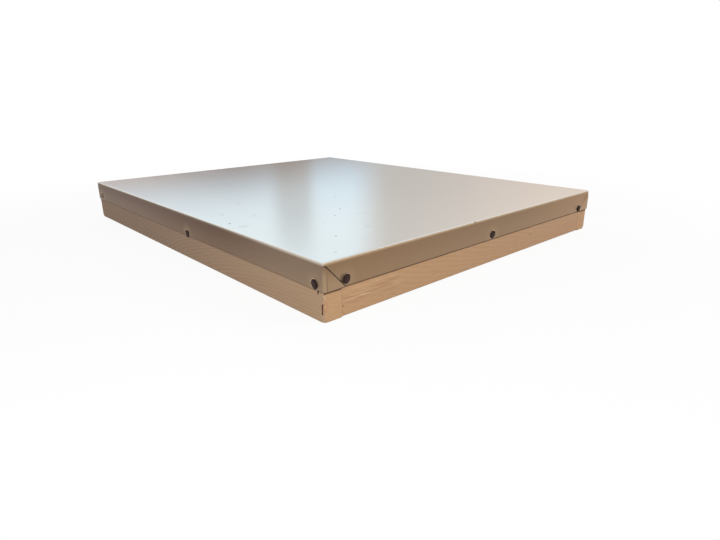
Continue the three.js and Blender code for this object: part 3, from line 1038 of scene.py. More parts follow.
@dataclass(frozen=True)
class PlywoodFinish:
    """Bare plywood: a rotary-cut face with wide wandering figure, and plies in turn along its edges."""

    face: Colour = colour(214, 180, 138)
    figure: Colour = colour(188, 146, 104)
    cross_ply: Colour = colour(160, 118, 80)
    plies: int = 7
    edge: Span = (-0.5, -0.1)
    figure_rise: Span = (0.2, 0.8)
    figure_fall: Span = (1.0, 0.9)
    ply_line: Span = (0.45, 0.55)

    def build(self) -> bpy.types.Material:
        """Makes the material.

        Returns:
            The material.
        """
        low, high = (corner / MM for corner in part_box("top_board"))
        shop, material = ShaderShop.for_material("bare_plywood")
        place = shop.place()
        x, y, z = shop.split(place)
        warp = shop.noise(shop.stretched(place, 0.02, 0.004, 0.02), 1.0, 3.0)
        figure = shop.math("FRACT", 0.045 * x + 4.0 * warp)
        figure = shop.step(figure, *self.figure_rise) * shop.step(figure, *self.figure_fall)
        fibres = shop.noise(shop.stretched(place, 1.2, 0.03, 1.2), 1.0, 4.0, 0.6)
        wood = shop.blend(0.5 * figure + 0.5 * (fibres - 0.5), self.face, self.figure)
        pair = 2 * (high.z - low.z) / self.plies
        crossing = shop.step(shop.math("FRACT", (z - low.z) / pair), *self.ply_line)
        at_edge = shop.largest(
            shop.step(abs(x) - high.x, *self.edge),
            shop.step(abs(y) - high.y, *self.edge))
        wood = shop.blend(at_edge * crossing, wood, self.cross_ply)
        shop.finish({
            "Base Color": wood,
            "Roughness": 0.7 + 0.1 * (fibres - 0.5),
            "Normal": shop.bump(0.5 * figure + 0.5 * fibres, 0.12 * MM),
        })
        return material


@dataclass(frozen=True)
class HeadFinish:
    """Dull dark brown nails, rubbed a little lighter towards the middle of the head."""

    name: str = "brown_nail_head"
    rim: Colour = colour(36, 19, 18)
    centre: Colour = colour(66, 40, 38)
    rust: Colour = colour(88, 52, 40)
    wear: str = "from_rim"
    rubbed: Span = (0.15, 0.6)
    rusty: Span = (0.62, 0.75)

    def build(self) -> bpy.types.Material:
        """Makes the material.

        Returns:
            The material.
        """
        shop, material = ShaderShop.for_material(self.name)
        inward = Number(shop, shop.add("ShaderNodeAttribute", {"attribute_name": self.wear}).outputs["Fac"])
        grain = shop.noise(shop.place(), 1.3, 3.0, 0.6)
        base = shop.blend(shop.step(inward + 0.3 * (grain - 0.5), *self.rubbed), self.rim, self.centre)
        shop.finish({
            "Base Color": shop.blend(0.5 * shop.step(grain, *self.rusty), base, self.rust),
            "Metallic": 0.0,
            "Specular IOR Level": 0.25,
            "Roughness": 0.62 + 0.25 * (grain - 0.5),
            "Normal": shop.bump(grain, 0.05 * MM),
        })
        return material


@dataclass(frozen=True)
class WireFinish:
    """Steel wire, bright or tarnished, with drawing lines along it and specks of rust."""

    name: str
    steel: Colour
    tarnish: Colour
    rust: Colour
    rusted: float
    metallic: float

    def build(self) -> bpy.types.Material:
        """Makes the material.

        Returns:
            The material.
        """
        shop, material = ShaderShop.for_material(self.name)
        place = shop.place()
        drawn = shop.noise(shop.stretched(place, 3.0, 3.0, 0.3), 1.0, 2.0)
        spots = shop.noise(place, 0.9, 3.0, 0.65)
        rusty_from = 0.66 - 0.4 * self.rusted
        rusty = shop.step(spots, rusty_from, rusty_from + 0.08)
        shop.finish({
            "Base Color": shop.blend(rusty, shop.blend(drawn, self.steel, self.tarnish), self.rust),
            "Metallic": self.metallic * (1 - 0.8 * rusty),
            "Roughness": 0.35 + 0.35 * rusty,
            "Normal": shop.bump(0.4 * drawn + 0.6 * spots, 0.06 * MM),
        })
        return material


@dataclass(frozen=True)
class Quirk:
    """How one nail differs: where it stands, how far its head turns aside and how deep it is driven."""

    along: float = 0.0
    up: float = 0.0
    aside: float = 0.0
    deeper: float = 0.0


QUIRKS = {
    "front_flange_nail_1": Quirk(along=-1.2 * MM, up=0.9 * MM, aside=math.radians(10), deeper=0.4 * MM),
    "front_flange_nail_3": Quirk(up=1.2 * MM, aside=math.radians(8), deeper=0.7 * MM),
    "left_flange_nail_1": Quirk(along=4.0 * MM, deeper=0.6 * MM),
    "left_flange_nail_3": Quirk(along=-1.2 * MM, up=0.1 * MM, aside=math.radians(-7)),
}


@dataclass(frozen=True)
class NailSite:
    """Where a nail stands: its node, its side, the middle of its head's underside, and what is its own."""

    node: str
    side: Side
    seat: Vector
    quirk: Quirk

    @classmethod
    def of(cls, node: str, length: float) -> "NailSite":
        """Reads a nail's place from the frame: its head is one nail's length out from its point.

        Args:
            node: The nail's node.
            length: From the underside of the head to the point.

        Returns:
            The site.
        """
        low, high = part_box(node)
        side = Side.of(node)
        centre = (low + high) / 2
        reach = abs((high - low).dot(side.outward)) / 2
        quirk = QUIRKS.get(node, Quirk())
        shift = quirk.along * side.along + Vector((0, 0, quirk.up))
        return cls(node, side, centre + side.outward * (length - reach) + shift, quirk)

    def offset(self, point: Vector) -> tuple[float, float]:
        """How far a point lies from the nail, along the side and up."""
        away = point - self.seat
        return away.dot(self.side.along), away.z


class Assembly:
    """Pieces that are built and dressed together."""

    slot = ""

    def build(self) -> dict[str, bpy.types.Object]:
        """Builds the pieces, each under the CAD node that it stands for."""
        raise NotImplementedError

    def dress(self, pieces: Mapping[str, bpy.types.Object]) -> None:
        """Gives the pieces their finishes."""
        raise NotImplementedError

    def make(self) -> None:
        """Builds and dresses the pieces. Each rides the cover and stands for its CAD node."""
        pieces = self.build()
        self.dress(pieces)
        for node, piece in pieces.items():
            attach(piece, BODY)
            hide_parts(node)
            LOG.info("%s stands for %s: %d faces", piece.name, node, len(piece.data.polygons))


def coat(obj: bpy.types.Object, material: bpy.types.Material) -> None:
    """Gives an object one material and nothing else."""
    obj.data.materials.clear()
    obj.data.materials.append(material)


def nodes_with(word: str) -> list[str]:
    """The CAD nodes that have a word in their names, in the order of their names."""
    return [name for name in sorted(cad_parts) if word in name]


class HiddenBoard:
    """The board under the metal and its nails, which keep their CAD meshes."""

    def dress(self) -> None:
        """Gives the board and its nails their finishes."""
        plywood = PlywoodFinish().build()
        steel, tarnish, rust = colour(176, 176, 170), colour(140, 138, 132), colour(120, 84, 56)
        bright = WireFinish("bright_wire", steel, tarnish, rust, 0.0, 1.0).build()
        for name in ["top_board", *nodes_with("_board_nail_")]:
            coat(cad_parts[name], plywood if name == "top_board" else bright)
            LOG.info("%s keeps its mesh", name)


@dataclass
class MetalTray(Assembly):
    """The roof: one sheet with folded corners.

    Each corner's spare metal is an ear of two layers, folded flat over the short flange. Its upper layer
    runs round the corner from the long flange.
    """

    nails: list[NailSite]
    slot = "sheet_metal"
    sheet: float = 0.5 * MM
    layer_gap: float = 0.15 * MM
    top_bend: float = 1.4 * MM
    corner_bend: float = 2.4 * MM
    cell: float = 6 * MM
    bend_steps: int = 6
    corner_steps: int = 8
    fold_steps: int = 6
    flange_rows: int = 10
    ear_columns: int = 4
    apex_drop: float = 3 * MM
    apex_in: float = 2.4 * MM
    apex_share: float = 0.12
    foot_in: float = 23.2 * MM
    flat_share: float = 0.35
    ear_rise: float = 6 * MM
    crease_in: float = 3.1 * MM
    crease_half: float = 0.45 * MM
    crease_depth: float = 0.22 * MM
    crease_top: float = 46.5 * MM
    crease_fade: float = 4 * MM
    nail_zone: float = 14 * MM
    nail_cuts: int = 3
    nail_depth: float = 3 * MM
    dent_depth: float = 0.3 * MM
    dent_reach: float = 8 * MM
    dent_drop: Span = (2 * MM, 10 * MM)
    lip_height: float = 0.22 * MM
    lip_radius: float = 5.2 * MM
    lip_half: float = 0.8 * MM
    ding: Vector = field(default_factory=lambda: Vector((-28.6, -278.2, 53.0)) * MM)
    ding_zone: float = 7 * MM
    ding_cuts: int = 5
    ding_reach: float = 2.0 * MM
    ding_depth: float = 0.48 * MM

    def __post_init__(self) -> None:
        """Reads the tray's box from the frame."""
        low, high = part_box("roof_sheet")
        self.bottom = low.z
        self.top = high.z
        self.half_width = high.x
        self.ear_face = high.y
        self.ear_stack = 2 * (self.sheet + self.layer_gap)
        self.flange_face = self.ear_face - self.ear_stack
        self.apex = Vector((self.apex_in - self.half_width, 0, self.top - self.apex_drop))
        self.foot = Vector((self.foot_in - self.half_width, 0, self.bottom))
        self.corner = Vector((-self.half_width, -self.flange_face, self.top))
        self.wrap_start = self.corner.y + self.corner_bend

    def build(self) -> dict[str, bpy.types.Object]:
        """Builds the sheet: one quarter, mirrored, thickened, pressed by its nails.

        Returns:
            The tray by its node.
        """
        tray = self._quarter()
        treat(tray, "MIRROR", use_axis=(True, True, False), merge_threshold=NEAR)
        self._divide(tray)
        self._thicken(tray)
        self._press(tray)
        smooth(tray, 32.0, weighted=True)
        return {"roof_sheet": tray}

    def dress(self, pieces: Mapping[str, bpy.types.Object]) -> None:
        """Gives the tray its satin finish."""
        coat(pieces["roof_sheet"], SheetFinish(self).build())

    def _quarter(self) -> bpy.types.Object:
        """Models the front left quarter of the sheet, without thickness.

        Returns:
            The quarter.
        """
        corner = self.corner
        bench = Bench.sheet("folded_sheet", corner, Vector((0, 0, self.top)), self.cell)
        bench.pick(Element.EDGE, lambda edge: edge.is_boundary and (
            middle(edge).x < corner.x + NEAR or middle(edge).y < corner.y + NEAR))
        bench.extrude(z=-self.apex_drop)
        for _ in range(self.flange_rows):
            bench.extrude(z=(self.bottom - self.apex.z) / self.flange_rows)
        bench.pick(Element.EDGE, lambda edge: middle(edge).x < corner.x + NEAR
                   and middle(edge).y < corner.y + NEAR)
        bench.bevel(self.corner_bend, self.corner_steps)
        bench.pick(Element.EDGE, lambda edge: middle(edge).z > self.top - NEAR
                   and any(abs(face.normal.z) < 1 - SQUARE for face in edge.link_faces)
                   and not edge.is_boundary)
        bench.bevel(self.top_bend, self.bend_steps)
        self._fold_ear(bench)
        return bench.done()

    def _fold_ear(self, bench: Bench) -> None:
        """Replaces the corner below the apex by the long flange's wrap, the ear and its folded lower layer.

        Args:
            bench: The quarter sheet.
        """
        corner, wrap_start = self.corner, self.wrap_start
        bench.pick(Element.FACE, lambda face: middle(face).z < self.apex.z and
                   min(abs(face.normal.x), abs(face.normal.y)) > 0.05)
        bench.delete(Element.FACE)
        bench.pick(Element.FACE, lambda face: not (
            middle(face).x < corner.x + NEAR and middle(face).y < wrap_start + self.cell))
        bench.hide()
        bench.pick(Element.EDGE, lambda edge: edge.is_boundary and middle(edge).z < self.apex.z
                   and middle(edge).y < wrap_start + NEAR)
        bench.extrude(y=-self.ear_stack)
        centre = Vector((corner.x + self.corner_bend, wrap_start - self.ear_stack, self.bottom))
        bench.spin(centre, Vector((0, 0, 1)), math.radians(90), self.corner_steps)
        crease = corner.x + self.crease_in
        stations = [crease - self.crease_half, crease, crease + self.crease_half]
        reach = self.foot.x + self.sheet - stations[-1]
        steps = range(1, self.ear_columns + 1)
        stations += [stations[-1] + reach * step / self.ear_columns for step in steps]
        for start, end in zip([centre.x, *stations], stations):
            bench.extrude(x=end - start)
        self._turn_under(bench)
        self._taper(bench, crease)
        bench.show_all()
        bench.pick(Element.POINT, lambda point: abs(point.co.z - self.apex.z) < NEAR
                   and point.co.x < centre.x + NEAR and point.co.y < wrap_start + NEAR)
        bench.merge()

    def _turn_under(self, bench: Bench) -> None:
        """Trims the ear along its diagonal, turns that edge under and runs the lower layer to the corner.

        Args:
            bench: The quarter sheet.
        """
        slope = (self.foot - self.apex).normalized()
        outwards = Vector((-slope.z, 0, slope.x))
        fold_radius = (2 * self.sheet + self.layer_gap) / 2
        edge_point = Vector((self.apex.x, -self.ear_face, self.apex.z)) - outwards * fold_radius
        bench.pick(Element.FACE, lambda face: face.normal.y < -SQUARE
                   and middle(face).y < NEAR - self.ear_face)
        bench.bisect(edge_point, outwards, clear=True)
        bench.pick(Element.EDGE, lambda edge: edge.is_boundary
                   and abs((middle(edge) - edge_point).dot(outwards)) < NEAR)
        bench.spin(edge_point + Vector((0, fold_radius, 0)), slope, -math.pi, self.fold_steps)
        fold_end = 2 * fold_radius - self.ear_face
        bench.extrude(x=self.apex.x - self.foot.x)
        corner_line = Vector((self.corner.x + self.corner_bend + self.sheet, 0, 0))
        bench.pick(Element.FACE, lambda face: abs(middle(face).y - fold_end) < NEAR)
        bench.bisect(corner_line, Vector((-1, 0, 0)), clear=True)

    def _taper(self, bench: Bench, crease: float) -> None:
        """Lets the ear rise from the flange below the apex, and presses the crease beside the corner.

        Args:
            bench: The quarter sheet.
            crease: Where the crease runs.
        """

        def rule(point: Vector) -> Vector:
            """How far a point of the ear moves.

            Args:
                point: The point's place.

            Returns:
                How far it moves.
            """
            sunk = 1 - smooth_share(point.z, self.apex.z, self.apex.z - self.ear_rise)
            on_wrap = point.x < self.corner.x + self.corner_bend + NEAR
            shift = (self.ear_stack if on_wrap else self.corner.y - point.y) * sunk
            if abs(point.x - crease) < NEAR and abs(point.y + self.ear_face) < NEAR:
                low = self.crease_top - self.crease_fade
                shift += self.crease_depth * smooth_share(point.z, self.crease_top, low)
            return Vector((0, shift, 0))

        bench.pick(Element.POINT, lambda point: point.co.y < self.wrap_start - NEAR)
        bench.press(rule)

    def _divide(self, tray: bpy.types.Object) -> None:
        """Gives the sheet more faces round its nails and its ding.

        Args:
            tray: The tray.
        """
        bench = Bench(tray)
        bench.pick(Element.FACE, lambda face: abs(face.normal.z) < 0.5 and self._near_nail(middle(face)))
        bench.divide(self.nail_cuts)
        bench.pick(Element.FACE, lambda face: (middle(face) - self.ding).length < self.ding_zone)
        bench.divide(self.ding_cuts)
        bench.done()

    def _near_nail(self, point: Vector) -> bool:
        """Whether a point of a flange lies close round a nail."""
        return any((point - nail.seat).length < self.nail_zone for nail in self.nails)

    def _thicken(self, tray: bpy.types.Object) -> None:
        """Gives the sheet its thickness, thinned where the ears' layers run out at their apex.

        Args:
            tray: The tray.
        """
        group = tray.vertex_groups.new(name="thickness")
        for point in tray.data.vertices:
            place = point.co
            in_ear = abs(place.y) > self.flange_face + NEAR / 2 and place.z < self.apex.z + NEAR
            in_ear = in_ear or abs(place.y) > self.flange_face - 2 * self.sheet > abs(place.x)
            lift = smooth_share(place.z, self.apex.z + NEAR, self.apex.z - self.ear_rise)
            thin = in_ear and abs(place.x) > self.half_width - self.foot_in
            group.add([point.index], max(self.apex_share, lift) if thin else 1.0, "REPLACE")
        treat(tray, "SOLIDIFY", thickness=self.sheet, offset=-1, use_even_offset=True,
              vertex_group=group.name)

    def _press(self, tray: bpy.types.Object) -> None:
        """Beats the front right ear flat, presses the sheet in round each nail and knocks the ding in.

        Args:
            tray: The tray.
        """
        for point in tray.data.vertices:
            proud = -self.flange_face - point.co.y
            if point.co.x > 0 and proud > 0:
                point.co.y += (1 - self.flat_share) * proud
            point.co += self._pressed_by_nails(point.co) + self._dinged(point.co)

    def _pressed_by_nails(self, point: Vector) -> Vector:
        """How the nails move a point of the sheet.

        Args:
            point: The point's place.

        Returns:
            How far it moves.
        """
        total = Vector((0, 0, 0))
        first, full = self.dent_drop
        fade = smooth_share(point.z, self.top - first, self.top - full)
        if fade <= 0:
            return total
        for nail in self.nails:
            along, up = nail.offset(point)
            distance = math.hypot(along, up)
            depth = abs((point - nail.seat).dot(nail.side.outward))
            if distance < 4 * self.dent_reach and depth < self.nail_depth:
                dent = self.dent_depth * math.exp(-((distance / self.dent_reach) ** 2))
                lip = self.lip_height * math.exp(-(((distance - self.lip_radius) / self.lip_half) ** 2))
                total += nail.side.outward * (lip - dent) * fade
        return total

    def _dinged(self, point: Vector) -> Vector:
        """How the ding moves a point of the sheet.

        Args:
            point: The point's place.

        Returns:
            How far it moves, inwards and down.
        """
        distance = (point - self.ding).length
        if distance > 3 * self.ding_reach:
            return Vector((0, 0, 0))
        depth = self.ding_depth * math.exp(-((distance / self.ding_reach) ** 2))
        return Vector((0, depth, -depth))


@dataclass(frozen=True)
class Knock:
    """A small knock in the front rail: its middle along the side and up, its half sizes and its depth.

    A depth below 0 stands up.
    """

    along: float
    height: float
    half_along: float
    half_height: float
    depth: float


@dataclass
class PineRim(Assembly):
    """The wooden rim: long rails, whose end grain shows at the front and back, and short ones between."""

    slot = "pine"
    corner_round: float = 1.5 * MM
    corner_steps: int = 5
    worn_round: float = 4 * MM
    worn_height: float = 5 * MM
    edge_round: float = 0.8 * MM
    edge_steps: int = 3
    back_round: float = 0.5 * MM
    back_steps: int = 2
    splinter: float = 0.16 * MM
    splinter_from: float = 0.35
    row: float = 1.6 * MM
    slot_width: float = 1.7 * MM
    lower_slot: float = 9.4 * MM
    upper_slot: float = 13.2 * MM
    slot_depth: float = 1.5 * MM
    slot_ragged: float = 0.22 * MM
    slot_cuts: int = 6
    knock_cuts: int = 7
    knock_margin: float = 1.6
    knock_edge: Span = (1.4, 0.2)
    knocks: tuple[Knock, ...] = (
        Knock(-211.0 * MM, 10.0 * MM, 0.8 * MM, 1.8 * MM, 0.3 * MM),
        Knock(-92.0 * MM, 10.0 * MM, 4.5 * MM, 1.2 * MM, 0.2 * MM),
        Knock(86.5 * MM, 20.0 * MM, 2.8 * MM, 2.1 * MM, -1.1 * MM),
    )
    seed: int = 7

    def build(self) -> dict[str, bpy.types.Object]:
        """Builds the four rails.

        Returns:
            The rails by their nodes.
        """
        dice = random.Random(self.seed)
        rails = {f"{side.word}_rail": self._long_rail(side, dice) for side in (Side.LEFT, Side.RIGHT)}
        return rails | {f"{side.word}_rail": self._short_rail(side) for side in (Side.FRONT, Side.BACK)}

    def dress(self, pieces: Mapping[str, bpy.types.Object]) -> None:
        """Gives each rail a figure of its own.

        Args:
            pieces: The rails by their nodes.
        """
        finishes = (
            # The left rail's near and far colours paint its light falling off towards the back.
            PineFinish(
                "left_pine", Side.LEFT, pith=(275.0, -20.0, -40.0), taper=0.26, ring=2.8, figure=0.24,
                early=colour(197, 165, 133), far=colour(176, 146, 122), shade=0.5, fade_from=-120.0,
                wander=4.0, blotch=0.2, stain_place=(-229.6, -277.4, 14.5)),
            PineFinish("right_pine", Side.RIGHT, pith=(-60.0, 60.0, 90.0), taper=0.12),
            PineFinish(
                "front_pine", Side.FRONT, pith=(250.0, -14.0, 78.0), taper=0.195, blotch=0.25,
                streaks_along=-178.0),
            PineFinish("back_pine", Side.BACK, pith=(30.0, -25.0, -30.0), taper=0.16),
        )
        for finish in finishes:
            coat(pieces[f"{finish.side.word}_rail"], finish.build())

    def _long_rail(self, side: Side, dice: random.Random) -> bpy.types.Object:
        """Models a rail that runs the whole length, with worn outer corners and its staples' slots.

        Args:
            side: The rail's side.
            dice: Where the wear comes from.

        Returns:
            The rail.
        """
        low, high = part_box(f"{side.word}_rail")
        outer = high.x if side is Side.RIGHT else low.x
        bench = Bench.block(f"{side.word}_pine_rail", low, high)
        level = low.z + self.row
        while level < FLANGE_BOTTOM:
            bench.pick(Element.FACE, lambda face: True)
            bench.bisect(Vector((0, 0, level)), Vector((0, 0, 1)))
            level += self.row
        bench.pick(Element.EDGE, lambda edge: abs(middle(edge).x - outer) < NEAR
                   and abs(abs(middle(edge).y) - high.y) < NEAR)
        bench.bevel(self.corner_round, self.corner_steps)
        self._wear_corners(bench, outer, high.y, dice)
        bench.pick(Element.EDGE, lambda edge: middle(edge).z < low.z + NEAR
                   and any(face.normal.z > -0.5 and face.normal.x * side.outward.x > -0.5
                           for face in edge.link_faces))
        bench.bevel(self.edge_round, self.edge_steps)
        bench.pick(Element.EDGE, lambda edge: abs(middle(edge).x - outer) > high.x - low.x - NEAR
                   and abs(middle(edge).y) < high.y / 2)
        bench.bevel(self.back_round, self.back_steps)
        rail = bench.done()
        for end in ("front", "back"):
            for height in ("lower", "upper"):
                self._cut_slot(rail, side, f"{end}_{side.word}_staple_{height}", dice)
        smooth(rail, 30.0, weighted=True)
        return rail

    def _wear_corners(self, bench: Bench, outer: float, end: float, dice: random.Random) -> None:
        """Rounds the outer corners more towards their feet, and frays them a little with small splinters.

        Args:
            bench: The rail.
            outer: The x of its outer face.
            end: How far its ends are from the middle.
            dice: Where the splinters come from.
        """

        def rule(point: Vector) -> Vector:
            """How far a point of a corner moves.

            Args:
                point: The point's place.

            Returns:
                How far it moves.
            """
            from_corner = point - Vector((outer, math.copysign(end, point.y), point.z))
            worn = 1 - smooth_share(point.z, 0, self.worn_height)
            radius = self.corner_round + (self.worn_round - self.corner_round) * worn
            shift = from_corner * (radius / self.corner_round - 1)
            raised = self.splinter * dice.random() * from_corner.normalized()
            if from_corner.length > self.splinter_from * self.corner_round:
                shift += raised
            return shift

        bench.pick(Element.POINT, lambda point: abs(point.co.x - outer) < self.corner_round + NEAR
                   and abs(abs(point.co.y) - end) < self.corner_round + NEAR)
        bench.press(rule)

    def _cut_slot(self, rail: bpy.types.Object, side: Side, staple: str, dice: random.Random) -> None:
        """Cuts the ragged slot that a staple's crown has driven into the face.

        Args:
            rail: The rail.
            side: The rail's side.
            staple: The staple's node.
            dice: Where the raggedness comes from.
        """
        length = self.lower_slot if staple.endswith("lower") else self.upper_slot
        half = Vector((self.slot_width / 2, self.slot_depth, length / 2))
        bench = Bench.block("slot_cutter", -half, half)
        bench.pick(Element.FACE, lambda face: True)
        bench.divide(self.slot_cuts)
        bench.pick(Element.POINT, lambda point: abs(point.co.x) > half.x - NEAR)
        bench.press(lambda point: Vector((dice.uniform(-1, 1) * self.slot_ragged, 0, 0)))
        cutter = bench.done()
        cutter.matrix_world = staple_pose(staple, side)
        settle(cutter)
        treat(rail, "BOOLEAN", operation="DIFFERENCE", object=cutter, solver="EXACT")
        bpy.data.objects.remove(cutter)

    def _short_rail(self, side: Side) -> bpy.types.Object:
        """Models a rail between the long ones, with a rounded foot, and at the front with its knocks.

        Args:
            side: The rail's side.

        Returns:
            The rail.
        """
        low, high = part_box(f"{side.word}_rail")
        outer = low.y if side is Side.FRONT else high.y
        bench = Bench.block(f"{side.word}_pine_rail", low, high)
        bench.pick(Element.EDGE, lambda edge: middle(edge).z < low.z + NEAR
                   and abs(middle(edge).y - outer) < NEAR)
        bench.bevel(self.edge_round, self.edge_steps)
        bench.pick(Element.EDGE, lambda edge: middle(edge).z < low.z + NEAR
                   and abs(middle(edge).y - outer) > high.y - low.y - NEAR)
        bench.bevel(self.back_round, self.back_steps)
        if side is Side.FRONT:
            for knock in self.knocks:
                self._knock(bench, outer, knock)
        rail = bench.done()
        smooth(rail, 30.0, weighted=True)
        return rail

    def _knock(self, bench: Bench, face: float, knock: Knock) -> None:
        """Presses a knock into the face, or lets it stand up.

        Args:
            bench: The rail.
            face: The y of its outer face.
            knock: The knock.
        """
        centre = Vector((knock.along, face, knock.height))
        for axis, half in ((Vector((1, 0, 0)), knock.half_along), (Vector((0, 0, 1)), knock.half_height)):
            for away in (-half, half):
                bench.pick(Element.FACE, lambda part: abs(middle(part).y - face) < NEAR
                           and abs(part.normal.y) > SQUARE)
                bench.bisect(centre + self.knock_margin * away * axis, axis)
        bench.pick(Element.FACE, lambda part: abs(middle(part).y - face) < NEAR
                   and abs(middle(part).x - knock.along) < knock.half_along
                   and abs(middle(part).z - knock.height) < knock.half_height)
        bench.divide(self.knock_cuts)

        def rule(point: Vector) -> Vector:
            """How far a point of the knock moves.

            Args:
                point: The point's place.

            Returns:
                How far it moves.
            """
            along = (point.x - knock.along) / knock.half_along
            up = (point.z - knock.height) / knock.half_height
            return Vector((0, knock.depth * smooth_share(math.hypot(along, up), *self.knock_edge), 0))

        bench.press(rule)


def staple_pose(node: str, side: Side) -> Matrix:
    """Reads a corner staple's place from the frame. The upper staples lean more than the lower ones.

    Args:
        node: The staple's node.
        side: The side that it is driven into.

    Returns:
        The place and turn of the middle of its crown's outer face.
    """
    low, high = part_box(node)
    centre = (low + high) / 2
    reach = abs((high - low).dot(side.outward)) / 2
    lean = math.radians(1 if node.endswith("lower") else 14)
    lean = math.copysign(lean, centre.dot(side.along))
    place = Matrix.Translation(centre + side.outward * reach)
    return place @ side.turn.to_4x4() @ Matrix.Rotation(lean, 4, "Y")


@dataclass
class FlatHeadNails(Assembly):
    """The dark nails through the flanges: wide thin heads with a turned land, a groove and a low crown."""

    sites: list[NailSite]
    slot = "brown_nail"
    head_radius: float = 4.25 * MM
    rim: float = 0.6 * MM
    rim_round: float = 0.22 * MM
    rim_steps: int = 3
    rings: tuple[Span, ...] = ((0.45, 0.0), (0.3, -0.12), (0.35, 0.16), (0.8, 0.2), (0.9, 0.12), (0.9, 0.06))
    shank_radius: float = 1.2 * MM
    length: float = 16 * MM
    point: float = 3.5 * MM
    point_share: float = 0.12
    sides: int = 48
    tilt_down: float = math.radians(5)
    driven: float = 1.0 * MM
    dusty: str = "left_flange_nail_1"

    def build(self) -> dict[str, bpy.types.Object]:
        """Builds one nail and copies it to every site.

        Returns:
            The nails by their nodes.
        """
        pattern = self._pattern()
        nails = {site.node: self._place(pattern, site) for site in self.sites}
        bpy.data.objects.remove(pattern)
        return nails

    def dress(self, pieces: Mapping[str, bpy.types.Object]) -> None:
        """Gives the nails their brown finish, and one of them a paler brown.

        Args:
            pieces: The nails by their nodes.
        """
        brown = HeadFinish().build()
        pale_brown = HeadFinish(
            "dusty_nail_head", colour(122, 104, 84), colour(146, 124, 98), colour(120, 96, 74)).build()
        for node, nail in pieces.items():
            coat(nail, pale_brown if node == self.dusty else brown)

    def _pattern(self) -> bpy.types.Object:
        """Models one nail with its head's underside on the origin and its head upwards.

        Returns:
            The nail.
        """
        bench = Bench.disc("nail_pattern", self.head_radius, self.rim, self.sides)
        bench.pick(Element.EDGE, lambda edge: middle(edge).z > self.rim - NEAR)
        bench.bevel(self.rim_round, self.rim_steps)
        bench.pick(Element.FACE, lambda face: middle(face).z > self.rim - NEAR)
        for width, rise in self.rings:
            bench.inset(width * MM, rise * MM)
        bench.pick(Element.FACE, lambda face: middle(face).z < NEAR)
        bench.inset(self.head_radius - self.shank_radius)
        bench.extrude(z=self.point - self.length)
        bench.extrude(z=-self.point)
        bench.shrink(self.point_share, Vector((0, 0, -self.length)))
        pattern = bench.done()
        wear = pattern.data.attributes.new(HeadFinish.wear, "FLOAT", "POINT")
        for point, item in zip(pattern.data.vertices, wear.data):
            item.value = max(0.0, 1 - math.hypot(point.co.x, point.co.y) / self.head_radius)
        smooth(pattern, 40.0)
        return pattern

    def _place(self, pattern: bpy.types.Object, site: NailSite) -> bpy.types.Object:
        """Puts a copy of the nail in its place. Only the head tips: the shank stays square to the rail.

        Args:
            pattern: The nail to copy.
            site: Where it goes.

        Returns:
            The copy.
        """
        nail = copy_of(pattern, site.node.replace("flange_nail", "flat_head_nail"))
        tip = Matrix.Rotation(site.quirk.aside, 4, "Z") @ Matrix.Rotation(self.tilt_down, 4, "X")
        stand = Matrix.Rotation(math.radians(90), 4, "X")
        for point in nail.data.vertices:
            upright = stand @ point.co
            point.co = tip @ upright if point.co.z > -NEAR else upright
        seat = site.seat - site.side.outward * (self.driven + site.quirk.deeper)
        nail.matrix_world = Matrix.Translation(seat) @ site.side.turn.to_4x4()
        settle(nail)
        return nail


@dataclass
class CornerStaples(Assembly):
    """Staples of flat wire that hold the rim's corners, their crowns sunk below the long rails' faces."""

    slot = "staple_wire"
    wire_thickness: float = 0.7 * MM
    wire_width: float = 0.95 * MM
    crown: float = 10.6 * MM
    leg: float = 38 * MM
    bend: float = 0.5 * MM
    bend_steps: int = 4
    edge_round: float = 0.12 * MM
    edge_steps: int = 2
    edge_angle: float = 0.8

    def build(self) -> dict[str, bpy.types.Object]:
        """Builds one staple and copies it to every node.

        Returns:
            The staples by their nodes.
        """
        pattern = self._pattern()
        staples = {}
        for node in nodes_with("_staple_"):
            staple = copy_of(pattern, f"{node}_wire")
            staple.matrix_world = staple_pose(node, Side[node.split("_")[1].upper()])
            settle(staple)
            staples[node] = staple
        bpy.data.objects.remove(pattern)
        return staples

    def dress(self, pieces: Mapping[str, bpy.types.Object]) -> None:
        """Gives the staples their rusty finish.

        Args:
            pieces: The staples by their nodes.
        """
        rusty = WireFinish(
            "rusty_wire", colour(82, 58, 48), colour(58, 34, 26), colour(70, 28, 18), 0.6, 0.3).build()
        for staple in pieces.values():
            coat(staple, rusty)

    def _pattern(self) -> bpy.types.Object:
        """Models one staple for the front side: the crown's outer face on the origin, its legs towards +Y.

        Returns:
            The staple.
        """
        half_width, half = self.wire_width / 2, self.crown / 2
        inner = half - self.wire_thickness
        low = Vector((-half_width, 0, -half))
        high = Vector((half_width, self.wire_thickness, half))
        bench = Bench.block("staple_pattern", low, high)
        for height in (inner, -inner):
            bench.pick(Element.FACE, lambda face: True)
            bench.bisect(Vector((0, 0, height)), Vector((0, 0, 1)))
        bench.pick(Element.FACE, lambda face: face.normal.y > SQUARE and abs(middle(face).z) > inner)
        bench.extrude(y=self.leg - self.wire_thickness)
        bench.pick(Element.EDGE, lambda edge: abs(abs(middle(edge).z) - half) < NEAR
                   and middle(edge).y < NEAR and abs(edge.verts[0].co.x - edge.verts[1].co.x) > NEAR)
        bench.bevel(self.bend, self.bend_steps)
        bench.pick(Element.EDGE, lambda edge: len(edge.link_faces) == 2
                   and edge.calc_face_angle(0) > self.edge_angle
                   and abs(abs(middle(edge).x) - half_width) < NEAR)
        bench.bevel(self.edge_round, self.edge_steps)
        pattern = bench.done()
        smooth(pattern, 35.0)
        return pattern


@dataclass(frozen=True)
class Lamp:
    """A square soft lamp: its name, where it hangs, how wide it is and its power in watts."""

    name: str
    place: Triple
    size: float
    power: float


